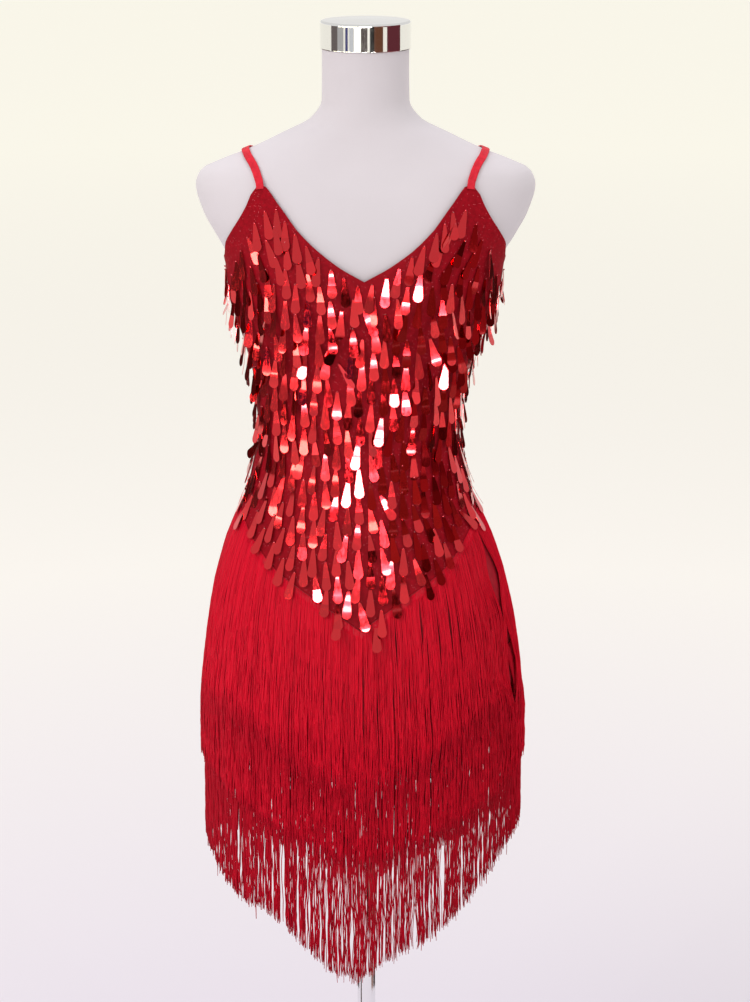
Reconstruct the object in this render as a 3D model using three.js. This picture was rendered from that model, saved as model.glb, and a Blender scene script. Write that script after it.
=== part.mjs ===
// A fringed, sequinned flapper dress standing on its limbless dress form.
// Millimetres, +Z up, the front of the dress faces -Y, and z = 0 is the floor under the stand.
import * as THREE from "three";

// Stand and neck cap
const BASE_RADIUS = 150;
const BASE_THICKNESS = 10;
const BASE_CHAMFER = 3;
const POLE_RADIUS = 10.8;
const POLE_SIDES = 20;
const COLLAR_RADIUS = 19;
const COLLAR_HEIGHT = 26;
const CAP_RADIUS = 50;
const CAP_BOTTOM = 1469.6;
const CAP_TOP = 1500;
const CAP_CHAMFER = 1.5;
const ROUND_SIDES = 40;
const FIT_GAP = 0.3;

// The general figure: half width, depth in front, depth behind, taper of the sides
// (0.5 is an ellipse, less is fuller, more is sharper) and sideways sway, for each height.
const FIGURE = [
  { z: 645, half: 146, front: 104, back: 110, taper: 0.45, sway: -3 },
  { z: 700, half: 160, front: 112, back: 119, taper: 0.45, sway: -4 },
  { z: 745, half: 167, front: 116, back: 124, taper: 0.45, sway: -4 },
  { z: 790, half: 170, front: 117, back: 127, taper: 0.45, sway: -5 },
  { z: 845, half: 165, front: 113, back: 126, taper: 0.45, sway: -6 },
  { z: 900, half: 151, front: 105, back: 117, taper: 0.46, sway: -7 },
  { z: 951, half: 132, front: 96, back: 103, taper: 0.47, sway: -8 },
  { z: 989, half: 120, front: 90, back: 93, taper: 0.47, sway: -8 },
  { z: 1040, half: 112, front: 86, back: 85, taper: 0.47, sway: -8 },
  { z: 1095, half: 116, front: 87, back: 86, taper: 0.47, sway: -7 },
  { z: 1147, half: 131, front: 88, back: 90, taper: 0.46, sway: -4 },
  { z: 1199, half: 149, front: 94, back: 94, taper: 0.45, sway: -2 },
  { z: 1240, half: 154, front: 94, back: 97, taper: 0.46, sway: -1 },
  { z: 1264, half: 167, front: 91, back: 98, taper: 0.5, sway: 0 },
  { z: 1290, half: 181, front: 85, back: 96, taper: 0.52, sway: 0 },
  { z: 1320, half: 189, front: 76, back: 90, taper: 0.54, sway: 0 },
  { z: 1336, half: 183, front: 69, back: 83, taper: 0.55, sway: 0 },
  { z: 1347, half: 161, front: 64, back: 76, taper: 0.55, sway: 0 },
  { z: 1358, half: 132, front: 60, back: 69, taper: 0.54, sway: 0 },
  { z: 1376, half: 94, front: 54, back: 60, taper: 0.52, sway: 0 },
  { z: 1393, half: 61, front: 50, back: 54, taper: 0.5, sway: 0 },
  { z: 1413, half: 48.5, front: 48.5, back: 49, taper: 0.5, sway: 0 },
  { z: 1440, half: 48, front: 48, back: 48, taper: 0.5, sway: 0 },
];
const BUST = { across: 85, z: 1220, rise: 25, spreadX: 43, spreadUp: 54, spreadDown: 50 };
const BUST_EASE = 3;
const TORSO_BOTTOM = 645;
const TORSO_COLUMNS = 40;
const FINE_ZONE = { from: 1130, to: 1413 };
const TORSO_STEP = 34;
const TORSO_FINE_STEP = 19;

// How the skirt falls from the hips, outside the tapering bottom of the form
const FALL_FROM = 845;
const FALL = [
  { z: 790, half: 171, front: 119, back: 130, taper: 0.45, sway: -5 },
  { z: 745, half: 176, front: 125, back: 134, taper: 0.45, sway: -5 },
  { z: 700, half: 179.5, front: 129, back: 137, taper: 0.45, sway: -4 },
  { z: 400, half: 179.5, front: 129, back: 137, taper: 0.45, sway: -4 },
];

// Cloth, in millimetres out from the figure
const CLOTH_GAP = 2.2;
const CLOTH_WALL = 1.5;
const LAYER_GAP = 1.2;
const STRIP_WALL = 2;
const SEAM_GAP = 0.3;

// Heights of the edges at a share of the half width, the same at the front and the back
const EDGES = [
  { share: 0, bodice: 834, upperHem: 557, lowerHead: 711, skirtHem: 657, lowerHem: 417 },
  { share: 0.12, bodice: 848, upperHem: 563, lowerHead: 731, skirtHem: 667, lowerHem: 427 },
  { share: 0.36, bodice: 873, upperHem: 580, lowerHead: 764, skirtHem: 690, lowerHem: 452 },
  { share: 0.6, bodice: 896, upperHem: 599, lowerHead: 780, skirtHem: 722, lowerHem: 483 },
  { share: 0.83, bodice: 926, upperHem: 625, lowerHead: 789, skirtHem: 743, lowerHem: 513 },
  { share: 1, bodice: 951, upperHem: 655, lowerHead: 792, skirtHem: 746, lowerHem: 541 },
];

// Top edges of the bodice by the turn in degrees from the centre line: neckline, strap point, armhole
const FRONT_TOP = [
  { turn: 0, z: 1229 },
  { turn: 10.5, z: 1241 },
  { turn: 18, z: 1256 },
  { turn: 24.3, z: 1275 },
  { turn: 29.5, z: 1300 },
  { turn: 35.6, z: 1326 },
  { turn: 38.2, z: 1326 },
  { turn: 44, z: 1307 },
  { turn: 50, z: 1290 },
  { turn: 57, z: 1276 },
  { turn: 65, z: 1264 },
  { turn: 73, z: 1252 },
  { turn: 81, z: 1244 },
  { turn: 90, z: 1240 },
];
const BACK_TOP = [
  { turn: 0, z: 1198 },
  { turn: 8, z: 1206 },
  { turn: 16, z: 1222 },
  { turn: 24, z: 1244 },
  { turn: 31.6, z: 1264 },
  { turn: 34.4, z: 1264 },
  { turn: 44, z: 1253 },
  { turn: 56, z: 1246 },
  { turn: 68, z: 1242 },
  { turn: 79, z: 1240 },
  { turn: 90, z: 1240 },
];
const BODICE_ROWS = { front: 16, back: 13 };

// Straps: a ray lifts from the front (0) over the shoulder (90) to the back (180)
const STRAP_WIDTH = 7.5;
const STRAP_WALL = 1.6;
const STRAP_GAP = 1.2;
const STRAP_CORE_Z = 1270;
const RAY_REACH = 160;
const RAY_HALVINGS = 40;
const STRAP_STEPS = 16;
const STRAP_ROUTE = [
  { lift: 43.9, across: 113.6 },
  { lift: 60, across: 121.5 },
  { lift: 75, across: 129.5 },
  { lift: 90, across: 132.5 },
  { lift: 112, across: 128 },
  { lift: 145, across: 111 },
  { lift: 183.4, across: 90 },
];

const SKIRT_COLUMNS = 20;
const SKIRT_ROWS = 9;

// Fringe: each tier is a band parted into locks
const STRIP_HEIGHT = 9;
const LOCK_WIDTH = 6.2;
const LOCK_COUNT = 44;
const LOCK_LEVELS = [900, 850, 797, 748, 700];
const LEAST_STEP = 12;
const SWING = { from: 850, to: 797 };
const PITCH_HEIGHT = 790;
const SIDE_MARGIN = 1.2;

const formCloth = new THREE.MeshStandardMaterial({ color: 0xe6dfe4, roughness: 0.9, metalness: 0 });
const chrome = new THREE.MeshStandardMaterial({ color: 0xd9dade, roughness: 0.12, metalness: 1 });
const basePaint = new THREE.MeshStandardMaterial({ color: 0xe9e9ea, roughness: 0.4, metalness: 0.1 });
const bodiceCloth = new THREE.MeshStandardMaterial({ color: 0x9c0c20, roughness: 0.7, metalness: 0 });
const strapCloth = new THREE.MeshStandardMaterial({ color: 0xc81b32, roughness: 0.55, metalness: 0 });
const skirtCloth = new THREE.MeshStandardMaterial({ color: 0x7d0717, roughness: 0.75, metalness: 0 });
const fringeYarn = new THREE.MeshStandardMaterial({ color: 0xc8102b, roughness: 0.5, metalness: 0 });

const radians = (degrees) => (degrees * Math.PI) / 180;

// A monotone cubic through table rows: value of one column at a place along another.
function along(rows, key, column) {
  const sorted = [...rows].sort((a, b) => a[key] - b[key]);
  const x = sorted.map((row) => row[key]);
  const y = sorted.map((row) => row[column]);
  const slope = x.slice(1).map((next, i) => (y[i + 1] - y[i]) / (next - x[i]));
  const tangent = x.map((_, i) => {
    if (i === 0) return slope[0];
    if (i === x.length - 1) return slope[i - 1];
    if (slope[i - 1] * slope[i] <= 0) return 0;
    return (2 * slope[i - 1] * slope[i]) / (slope[i - 1] + slope[i]);
  });
  return (place) => {
    const at = Math.min(Math.max(place, x[0]), x[x.length - 1]);
    let i = 0;
    while (i < x.length - 2 && at > x[i + 1]) i += 1;
    const width = x[i + 1] - x[i];
    const t = (at - x[i]) / width;
    const start = y[i] * (1 + 2 * t) * (1 - t) ** 2 + tangent[i] * width * t * (1 - t) ** 2;
    const end = y[i + 1] * t * t * (3 - 2 * t) + tangent[i + 1] * width * t * t * (t - 1);
    return start + end;
  };
}

function sectionsFrom(rows, rise) {
  const column = (name) => along(rows, "z", name);
  const half = column("half");
  const front = column("front");
  const back = column("back");
  const taper = column("taper");
  const sway = column("sway");
  return (z) => ({
    half: half(z),
    front: front(z),
    back: back(z),
    taper: taper(z),
    sway: sway(z),
    rise,
  });
}

// The cloth's figure, the form a little slacker at the bust, and the skirt's fall.
const figureAt = sectionsFrom(FIGURE, BUST.rise);
const formAt = sectionsFrom(FIGURE, BUST.rise - BUST_EASE);
const fallAt = sectionsFrom([...FIGURE.filter((row) => row.z >= FALL_FROM), ...FALL], BUST.rise);

function bustRise(rise, x, z) {
  const spreadZ = z > BUST.z ? BUST.spreadUp : BUST.spreadDown;
  const height = Math.exp(-((z - BUST.z) ** 2) / (2 * spreadZ ** 2));
  const mound = (side) => Math.exp(-((x - side * BUST.across) ** 2) / (2 * BUST.spreadX ** 2));
  return rise * height * (mound(-1) + mound(1));
}

// A point of the surface at a turn in degrees: 0 is the centre front, 90 the right side
// as seen from the front, 180 the centre back.
function surfacePoint(sectionAt, turn, z) {
  const { half, front, back, taper, sway, rise } = sectionAt(z);
  const x = half * Math.sin(radians(turn));
  const facing = Math.cos(radians(turn));
  const reach = Math.abs(facing) ** (2 * taper);
  const y = facing > 0 ? -front * reach - bustRise(rise, x, z) * facing : back * reach;
  return new THREE.Vector3(x + sway, y, z);
}

function surfaceNormal(sectionAt, turn, z) {
  const step = 0.5;
  const round = surfacePoint(sectionAt, turn + step, z).sub(surfacePoint(sectionAt, turn - step, z));
  const up = surfacePoint(sectionAt, turn, z + step).sub(surfacePoint(sectionAt, turn, z - step));
  return round.cross(up).normalize();
}

function offPoint(sectionAt, turn, z, distance) {
  const normal = surfaceNormal(sectionAt, turn, z);
  return surfacePoint(sectionAt, turn, z).addScaledVector(normal, distance);
}

function meshOf(name, points, faces, material) {
  const geometry = new THREE.BufferGeometry();
  const flat = points.flatMap((point) => [point.x, point.y, point.z]);
  geometry.setAttribute("position", new THREE.Float32BufferAttribute(flat, 3));
  geometry.setIndex(faces.flat());
  geometry.computeVertexNormals();
  const mesh = new THREE.Mesh(geometry, material);
  mesh.name = name;
  return mesh;
}

// Two triangles over four corners given anticlockwise as seen from outside.
const quad = (a, b, c, d) => [
  [a, b, c],
  [a, c, d],
];

// A closed solid through a stack of rings with the same number of points in each.
function stackOf(name, rings, material) {
  const count = rings[0].length;
  const faces = [];
  for (let r = 0; r < rings.length - 1; r += 1) {
    for (let i = 0; i < count; i += 1) {
      const next = (i + 1) % count;
      const low = r * count;
      const high = low + count;
      faces.push(...quad(low + i, low + next, high + next, high + i));
    }
  }
  const top = (rings.length - 1) * count;
  for (let i = 1; i < count - 1; i += 1) {
    faces.push([0, i + 1, i]);
    faces.push([top, top + i, top + i + 1]);
  }
  return meshOf(name, rings.flat(), faces, material);
}

// A cloth panel: a wall over a grid of columns (left to right) and rows (bottom to top).
function panelOf(name, columns, rows, place, material) {
  const points = [];
  const index = (side, i, j) => (i * (rows + 1) + j) * 2 + side;
  for (let i = 0; i <= columns; i += 1) {
    for (let j = 0; j <= rows; j += 1) points.push(...place(i, j));
  }
  const inner = (i, j) => index(0, i, j);
  const outer = (i, j) => index(1, i, j);
  const faces = [];
  for (let i = 0; i < columns; i += 1) {
    for (let j = 0; j < rows; j += 1) {
      faces.push(...quad(outer(i, j), outer(i + 1, j), outer(i + 1, j + 1), outer(i, j + 1)));
      faces.push(...quad(inner(i, j), inner(i, j + 1), inner(i + 1, j + 1), inner(i + 1, j)));
    }
    faces.push(...quad(inner(i, 0), inner(i + 1, 0), outer(i + 1, 0), outer(i, 0)));
    faces.push(...quad(outer(i, rows), outer(i + 1, rows), inner(i + 1, rows), inner(i, rows)));
  }
  for (let j = 0; j < rows; j += 1) {
    faces.push(...quad(outer(0, j), outer(0, j + 1), inner(0, j + 1), inner(0, j)));
    faces.push(...quad(inner(columns, j), inner(columns, j + 1), outer(columns, j + 1), outer(columns, j)));
  }
  return meshOf(name, points, faces, material);
}

const edgeHeight = (column) => {
  const height = along(EDGES, "share", column);
  return (turn) => height(Math.abs(Math.sin(radians(turn))));
};
const bodiceEdge = edgeHeight("bodice");
const upperHem = edgeHeight("upperHem");
const lowerHead = edgeHeight("lowerHead");
const skirtHem = edgeHeight("skirtHem");
const lowerHem = edgeHeight("lowerHem");

// The turn left free at each side seam, so that the front and the back stay a seam gap apart.
function seamTurn(z) {
  const { front, back } = fallAt(z);
  return THREE.MathUtils.radToDeg(SEAM_GAP / Math.min(front, back));
}

function formTorso() {
  const heights = [];
  for (let z = TORSO_BOTTOM; z < CAP_BOTTOM - FIT_GAP; ) {
    heights.push(z);
    const fine = z >= FINE_ZONE.from && z < FINE_ZONE.to;
    z += fine ? TORSO_FINE_STEP : TORSO_STEP;
  }
  heights.push(CAP_BOTTOM - FIT_GAP);
  const rings = heights.map((z) =>
    Array.from({ length: TORSO_COLUMNS }, (_, i) =>
      surfacePoint(formAt, (360 * i) / TORSO_COLUMNS, z),
    ),
  );
  return stackOf("form_torso", rings, formCloth);
}

function lathed(name, profile, material, sides) {
  const points = profile.map(([radius, z]) => new THREE.Vector2(radius, z));
  const geometry = new THREE.LatheGeometry(points, sides);
  const mesh = new THREE.Mesh(geometry, material);
  mesh.name = name;
  mesh.rotation.x = Math.PI / 2;
  return mesh;
}

function neckCap() {
  const edge = CAP_CHAMFER;
  const profile = [
    [0, CAP_BOTTOM],
    [CAP_RADIUS, CAP_BOTTOM],
    [CAP_RADIUS, CAP_TOP - edge],
    [CAP_RADIUS - edge, CAP_TOP],
    [0, CAP_TOP],
  ];
  return lathed("form_neck_cap", profile, chrome, ROUND_SIDES);
}

function standPole() {
  const top = TORSO_BOTTOM - FIT_GAP;
  const profile = [
    [0, BASE_THICKNESS + FIT_GAP],
    [COLLAR_RADIUS, BASE_THICKNESS + FIT_GAP],
    [COLLAR_RADIUS, BASE_THICKNESS + FIT_GAP + COLLAR_HEIGHT],
    [POLE_RADIUS, BASE_THICKNESS + FIT_GAP + COLLAR_HEIGHT],
    [POLE_RADIUS, top - COLLAR_HEIGHT],
    [COLLAR_RADIUS, top - COLLAR_HEIGHT],
    [COLLAR_RADIUS, top],
    [0, top],
  ];
  return lathed("stand_pole", profile, chrome, POLE_SIDES);
}

function standBase() {
  const edge = BASE_CHAMFER;
  const profile = [
    [0, 0],
    [BASE_RADIUS, 0],
    [BASE_RADIUS, BASE_THICKNESS - edge],
    [BASE_RADIUS - edge, BASE_THICKNESS],
    [0, BASE_THICKNESS],
  ];
  return lathed("stand_base", profile, basePaint, ROUND_SIDES);
}

// Columns of a half of the bodice, from the table's turns on both sides of its centre line.
function mirroredTurns(rows, last) {
  const turns = rows.map((row) => Math.min(row.turn, last));
  return [...turns.slice(1).reverse().map((turn) => -turn), ...turns];
}

function bodicePanel(name, topRows, rows, centre) {
  const topEdge = along(topRows, "turn", "z");
  const last = 90 - seamTurn(BUST.z);
  const turns = mirroredTurns(topRows, last);
  const place = (i, j) => {
    const low = bodiceEdge(turns[i]);
    const z = low + ((topEdge(Math.abs(turns[i])) - low) * j) / rows;
    const turn = centre + turns[i];
    return [
      offPoint(figureAt, turn, z, CLOTH_GAP),
      offPoint(figureAt, turn, z, CLOTH_GAP + CLOTH_WALL),
    ];
  };
  return panelOf(name, turns.length - 1, rows, place, bodiceCloth);
}

function skirtPanel(name, centre) {
  const last = 90 - seamTurn(FALL_FROM);
  const place = (i, j) => {
    const turn = last * ((2 * i) / SKIRT_COLUMNS - 1);
    const low = skirtHem(turn);
    const high = bodiceEdge(turn) - 2 * SEAM_GAP;
    const z = low + ((high - low) * j) / SKIRT_ROWS;
    return [
      offPoint(fallAt, centre + turn, z, CLOTH_GAP),
      offPoint(fallAt, centre + turn, z, CLOTH_GAP + CLOTH_WALL),
    ];
  };
  return panelOf(name, SKIRT_COLUMNS, SKIRT_ROWS, place, skirtCloth);
}

// The figure's surface along a ray that starts inside the shoulder.
function rayPoint(across, lift) {
  const heading = new THREE.Vector3(0, -Math.cos(radians(lift)), Math.sin(radians(lift)));
  const start = new THREE.Vector3(across, 0, STRAP_CORE_Z);
  const inside = (distance) => {
    const p = start.clone().addScaledVector(heading, distance);
    const { half, front, back, taper, rise } = figureAt(p.z);
    if (Math.abs(p.x) >= half) return false;
    const facing = Math.sqrt(1 - (p.x / half) ** 2);
    const reach = facing ** (2 * taper);
    const frontDepth = front * reach + bustRise(rise, p.x, p.z) * facing;
    return p.y < 0 ? -p.y < frontDepth : p.y < back * reach;
  };
  let near = 0;
  let far = RAY_REACH;
  for (let i = 0; i < RAY_HALVINGS; i += 1) {
    const middle = (near + far) / 2;
    if (inside(middle)) near = middle;
    else far = middle;
  }
  return start.addScaledVector(heading, near);
}

function strap(name, side) {
  const acrossAt = along(STRAP_ROUTE, "lift", "across");
  const first = STRAP_ROUTE[0].lift;
  const last = STRAP_ROUTE[STRAP_ROUTE.length - 1].lift;
  const step = 0.5;
  const routePoint = (lift) => rayPoint(side * acrossAt(lift), lift);
  const rings = Array.from({ length: STRAP_STEPS + 1 }, (_, i) => {
    const lift = first + ((last - first) * i) / STRAP_STEPS;
    const across = side * acrossAt(lift);
    const here = rayPoint(across, lift);
    const travel = routePoint(lift + step).sub(routePoint(lift - step)).normalize();
    const over = rayPoint(across, lift + step).sub(rayPoint(across, lift - step));
    const sideways = rayPoint(across + step, lift).sub(rayPoint(across - step, lift));
    const out = sideways.cross(over).normalize();
    const wide = travel.clone().cross(out).normalize();
    const corner = (edge, rise) => here.clone()
      .addScaledVector(wide, (edge * STRAP_WIDTH) / 2)
      .addScaledVector(out, rise);
    return [
      corner(-1, STRAP_GAP + STRAP_WALL),
      corner(1, STRAP_GAP + STRAP_WALL),
      corner(1, STRAP_GAP),
      corner(-1, STRAP_GAP),
    ];
  });
  return stackOf(name, rings, strapCloth);
}

// Turns at equal lengths of cloth around one half of the skirt.
function evenTurns(centre, count) {
  const samples = 720;
  const sideTurn = (LOCK_WIDTH / 2 + SIDE_MARGIN) / fallAt(PITCH_HEIGHT).front;
  const last = 90 - THREE.MathUtils.radToDeg(sideTurn);
  const turns = [];
  const lengths = [];
  let total = 0;
  let before = null;
  for (let i = 0; i <= samples; i += 1) {
    const turn = centre - last + (2 * last * i) / samples;
    const point = surfacePoint(fallAt, turn, PITCH_HEIGHT);
    if (before) total += point.distanceTo(before);
    turns.push(turn);
    lengths.push(total);
    before = point;
  }
  return Array.from({ length: count }, (_, k) => {
    const wanted = (total * k) / (count - 1);
    return turns[lengths.findIndex((length) => length >= wanted - 1e-9)];
  });
}

// One tier of fringe over half of the skirt: a band at the head, parted into locks below it.
function fringeTier(name, centre, head, hem, standOff) {
  const turns = evenTurns(centre, LOCK_COUNT);
  const points = [];
  const faces = [];
  const locks = turns.map((turn) => {
    const top = head(turn);
    const root = top - STRIP_HEIGHT;
    const end = hem(turn);
    const between = LOCK_LEVELS.filter((z) => z < root - LEAST_STEP && z > end + LEAST_STEP);
    const wide = surfacePoint(fallAt, turn + 0.5, root).sub(surfacePoint(fallAt, turn - 0.5, root));
    wide.normalize().multiplyScalar(LOCK_WIDTH / 2);
    return [top, root, ...between, end].map((z) => {
      const first = points.length;
      const inner = offPoint(fallAt, turn, z, standOff(z));
      const outer = offPoint(fallAt, turn, z, standOff(z) + STRIP_WALL);
      points.push(inner.clone().sub(wide), outer.clone().sub(wide));
      points.push(outer.clone().add(wide), inner.clone().add(wide));
      return { innerLeft: first, outerLeft: first + 1, outerRight: first + 2, innerRight: first + 3 };
    });
  });
  locks.forEach((levels, k) => {
    const before = k > 0;
    const after = k < locks.length - 1;
    levels.slice(1).forEach((low, r) => {
      const high = levels[r];
      faces.push(...quad(low.outerLeft, low.outerRight, high.outerRight, high.outerLeft));
      faces.push(...quad(low.innerLeft, high.innerLeft, high.innerRight, low.innerRight));
      if (r > 0 || !before) {
        faces.push(...quad(low.outerLeft, high.outerLeft, high.innerLeft, low.innerLeft));
      }
      if (r > 0 || !after) {
        faces.push(...quad(low.innerRight, high.innerRight, high.outerRight, low.outerRight));
      }
    });
    const top = levels[0];
    const end = levels[levels.length - 1];
    faces.push(...quad(top.outerLeft, top.outerRight, top.innerRight, top.innerLeft));
    faces.push(...quad(end.innerLeft, end.innerRight, end.outerRight, end.outerLeft));
    if (!after) return;
    const [nextTop, nextRoot] = locks[k + 1];
    const root = levels[1];
    faces.push(...quad(root.outerRight, nextRoot.outerLeft, nextTop.outerLeft, top.outerRight));
    faces.push(...quad(root.innerRight, top.innerRight, nextTop.innerLeft, nextRoot.innerLeft));
    faces.push(...quad(top.outerRight, nextTop.outerLeft, nextTop.innerLeft, top.innerRight));
    faces.push(...quad(root.innerRight, nextRoot.innerLeft, nextRoot.outerLeft, root.outerRight));
  });
  return meshOf(name, points, faces, fringeYarn);
}

const lowerStandOff = () => CLOTH_GAP + CLOTH_WALL + LAYER_GAP;

// The upper tier swings out over the head of the lower one.
function upperStandOff(z) {
  const share = (SWING.from - z) / (SWING.from - SWING.to);
  const out = Math.min(Math.max(share, 0), 1);
  return lowerStandOff() + out * (STRIP_WALL + LAYER_GAP);
}

const FRONT = 0;
const BACK = 180;

const dress = new THREE.Group();
dress.add(
  standBase(),
  standPole(),
  formTorso(),
  neckCap(),
  bodicePanel("bodice_front", FRONT_TOP, BODICE_ROWS.front, FRONT),
  bodicePanel("bodice_back", BACK_TOP, BODICE_ROWS.back, BACK),
  strap("strap_right", -1),
  strap("strap_left", 1),
  skirtPanel("underskirt_front", FRONT),
  skirtPanel("underskirt_back", BACK),
  fringeTier("fringe_upper_front", FRONT, bodiceEdge, upperHem, upperStandOff),
  fringeTier("fringe_upper_back", BACK, bodiceEdge, upperHem, upperStandOff),
  fringeTier("fringe_lower_front", FRONT, lowerHead, lowerHem, lowerStandOff),
  fringeTier("fringe_lower_back", BACK, lowerHead, lowerHem, lowerStandOff),
);

export default dress;
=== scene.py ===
"""A fringed, sequinned flapper dress on its dress form. Metres, +Z up, the front faces -Y."""

import math

import bmesh
import bpy
import numpy as np
from bpy.props import FloatProperty, FloatVectorProperty, IntProperty, PointerProperty
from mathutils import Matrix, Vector


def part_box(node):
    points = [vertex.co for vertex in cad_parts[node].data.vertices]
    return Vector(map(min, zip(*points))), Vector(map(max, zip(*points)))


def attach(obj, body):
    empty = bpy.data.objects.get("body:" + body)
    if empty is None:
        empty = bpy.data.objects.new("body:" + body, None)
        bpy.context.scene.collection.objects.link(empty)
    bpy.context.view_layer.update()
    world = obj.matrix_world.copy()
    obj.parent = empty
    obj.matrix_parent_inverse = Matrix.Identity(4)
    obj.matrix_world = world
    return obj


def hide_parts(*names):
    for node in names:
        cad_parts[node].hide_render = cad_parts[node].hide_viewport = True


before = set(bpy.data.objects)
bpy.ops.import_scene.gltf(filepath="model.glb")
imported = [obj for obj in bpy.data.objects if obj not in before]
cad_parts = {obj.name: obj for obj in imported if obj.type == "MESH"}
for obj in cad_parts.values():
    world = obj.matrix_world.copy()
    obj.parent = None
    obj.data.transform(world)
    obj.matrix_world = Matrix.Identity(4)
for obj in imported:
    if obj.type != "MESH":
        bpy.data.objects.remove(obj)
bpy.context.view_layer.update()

bl_info = {
    "name": "Flapper dress on a dress form",
    "version": (1, 0, 0),
    "blender": (4, 5, 0),
    "location": "View3D > Sidebar > Dress",
    "description": "Builds the dress, its form and a plain stage around the packed frame",
    "category": "Object",
}

BODY = "root"

# The general figure by height
SECTION_COLUMNS = ("z", "half", "front", "back", "taper", "sway")
FIGURE = [
    (0.645, 0.146, 0.104, 0.110, 0.45, -0.003),
    (0.700, 0.160, 0.112, 0.119, 0.45, -0.004),
    (0.745, 0.167, 0.116, 0.124, 0.45, -0.004),
    (0.790, 0.170, 0.117, 0.127, 0.45, -0.005),
    (0.845, 0.165, 0.113, 0.126, 0.45, -0.006),
    (0.900, 0.151, 0.105, 0.117, 0.46, -0.007),
    (0.951, 0.132, 0.096, 0.103, 0.47, -0.008),
    (0.989, 0.120, 0.090, 0.093, 0.47, -0.008),
    (1.040, 0.112, 0.086, 0.085, 0.47, -0.008),
    (1.095, 0.116, 0.087, 0.086, 0.47, -0.007),
    (1.147, 0.131, 0.088, 0.090, 0.46, -0.004),
    (1.199, 0.149, 0.094, 0.094, 0.45, -0.002),
    (1.240, 0.154, 0.094, 0.097, 0.46, -0.001),
    (1.264, 0.167, 0.091, 0.098, 0.50, 0.0),
    (1.290, 0.181, 0.085, 0.096, 0.52, 0.0),
    (1.320, 0.189, 0.076, 0.090, 0.54, 0.0),
    (1.336, 0.183, 0.069, 0.083, 0.55, 0.0),
    (1.347, 0.161, 0.064, 0.076, 0.55, 0.0),
    (1.358, 0.132, 0.060, 0.069, 0.54, 0.0),
    (1.376, 0.094, 0.054, 0.060, 0.52, 0.0),
    (1.393, 0.061, 0.050, 0.054, 0.50, 0.0),
    (1.413, 0.0485, 0.0485, 0.049, 0.50, 0.0),
    (1.440, 0.048, 0.048, 0.048, 0.50, 0.0),
]
FALL_FROM = 0.845
FALL = [
    (0.790, 0.171, 0.119, 0.130, 0.45, -0.005),
    (0.745, 0.176, 0.125, 0.134, 0.45, -0.005),
    (0.700, 0.1795, 0.129, 0.137, 0.45, -0.004),
    (0.400, 0.1795, 0.129, 0.137, 0.45, -0.004),
]
BUST = {"across": 0.085, "z": 1.220, "rise": 0.025, "spread": 0.043, "up": 0.054, "down": 0.050}
BUST_EASE = 0.003

# Heights of the dress's edges at a share of the half width
EDGE_COLUMNS = ("share", "bodice", "upper_hem", "lower_head", "skirt_hem", "lower_hem")
EDGES = [
    (0.00, 0.834, 0.557, 0.711, 0.657, 0.417),
    (0.12, 0.848, 0.563, 0.731, 0.667, 0.427),
    (0.36, 0.873, 0.580, 0.764, 0.690, 0.452),
    (0.60, 0.896, 0.599, 0.780, 0.722, 0.483),
    (0.83, 0.926, 0.625, 0.789, 0.743, 0.513),
    (1.00, 0.951, 0.655, 0.792, 0.746, 0.541),
]
TOP_COLUMNS = ("turn", "z")
FRONT_TOP = [
    (0, 1.229), (10.5, 1.245), (18, 1.2615), (24.3, 1.282), (29.5, 1.306), (35.6, 1.326),
    (38.2, 1.325), (44, 1.304), (50, 1.288), (57, 1.2755), (65, 1.264), (73, 1.252),
    (81, 1.244), (90, 1.240),
]
BACK_TOP = [
    (0, 1.198), (8, 1.206), (16, 1.222), (24, 1.244), (31.6, 1.264), (34.4, 1.264),
    (44, 1.253), (56, 1.246), (68, 1.242), (79, 1.240), (90, 1.240),
]
STRAP_COLUMNS = ("lift", "across")
STRAP_ROUTE = [
    (43.9, 0.1136), (60, 0.1215), (75, 0.1295), (90, 0.1325),
    (112, 0.128), (145, 0.111), (183.4, 0.090),
]
STRAP_CORE_Z = 1.270
# How far each end of a strap is laid over the bodice, in degrees of lift
STRAP_LAP = 3.2
STRAP_WIDTH = 0.0088
STRAP_WALL = 0.0016
STRAP_GAP = 0.0012

CLOTH_GAP = 0.0022
CLOTH_INNER = CLOTH_GAP + 0.0002
CLOTH_OUTER = CLOTH_GAP + 0.0012
CLOTH_WALL = 0.0015
LAYER_GAP = 0.0012
STRIP_WALL = 0.002
STRIP_HEIGHT = 0.009
SWING_FROM = 0.850
SWING_TO = 0.797
# Where the pieces end, in degrees from the centre front or back: just short of the side seam
BODICE_LAST = 89.82
SKIRT_LAST = 89.8
TAPE_LAST = 89.4

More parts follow.
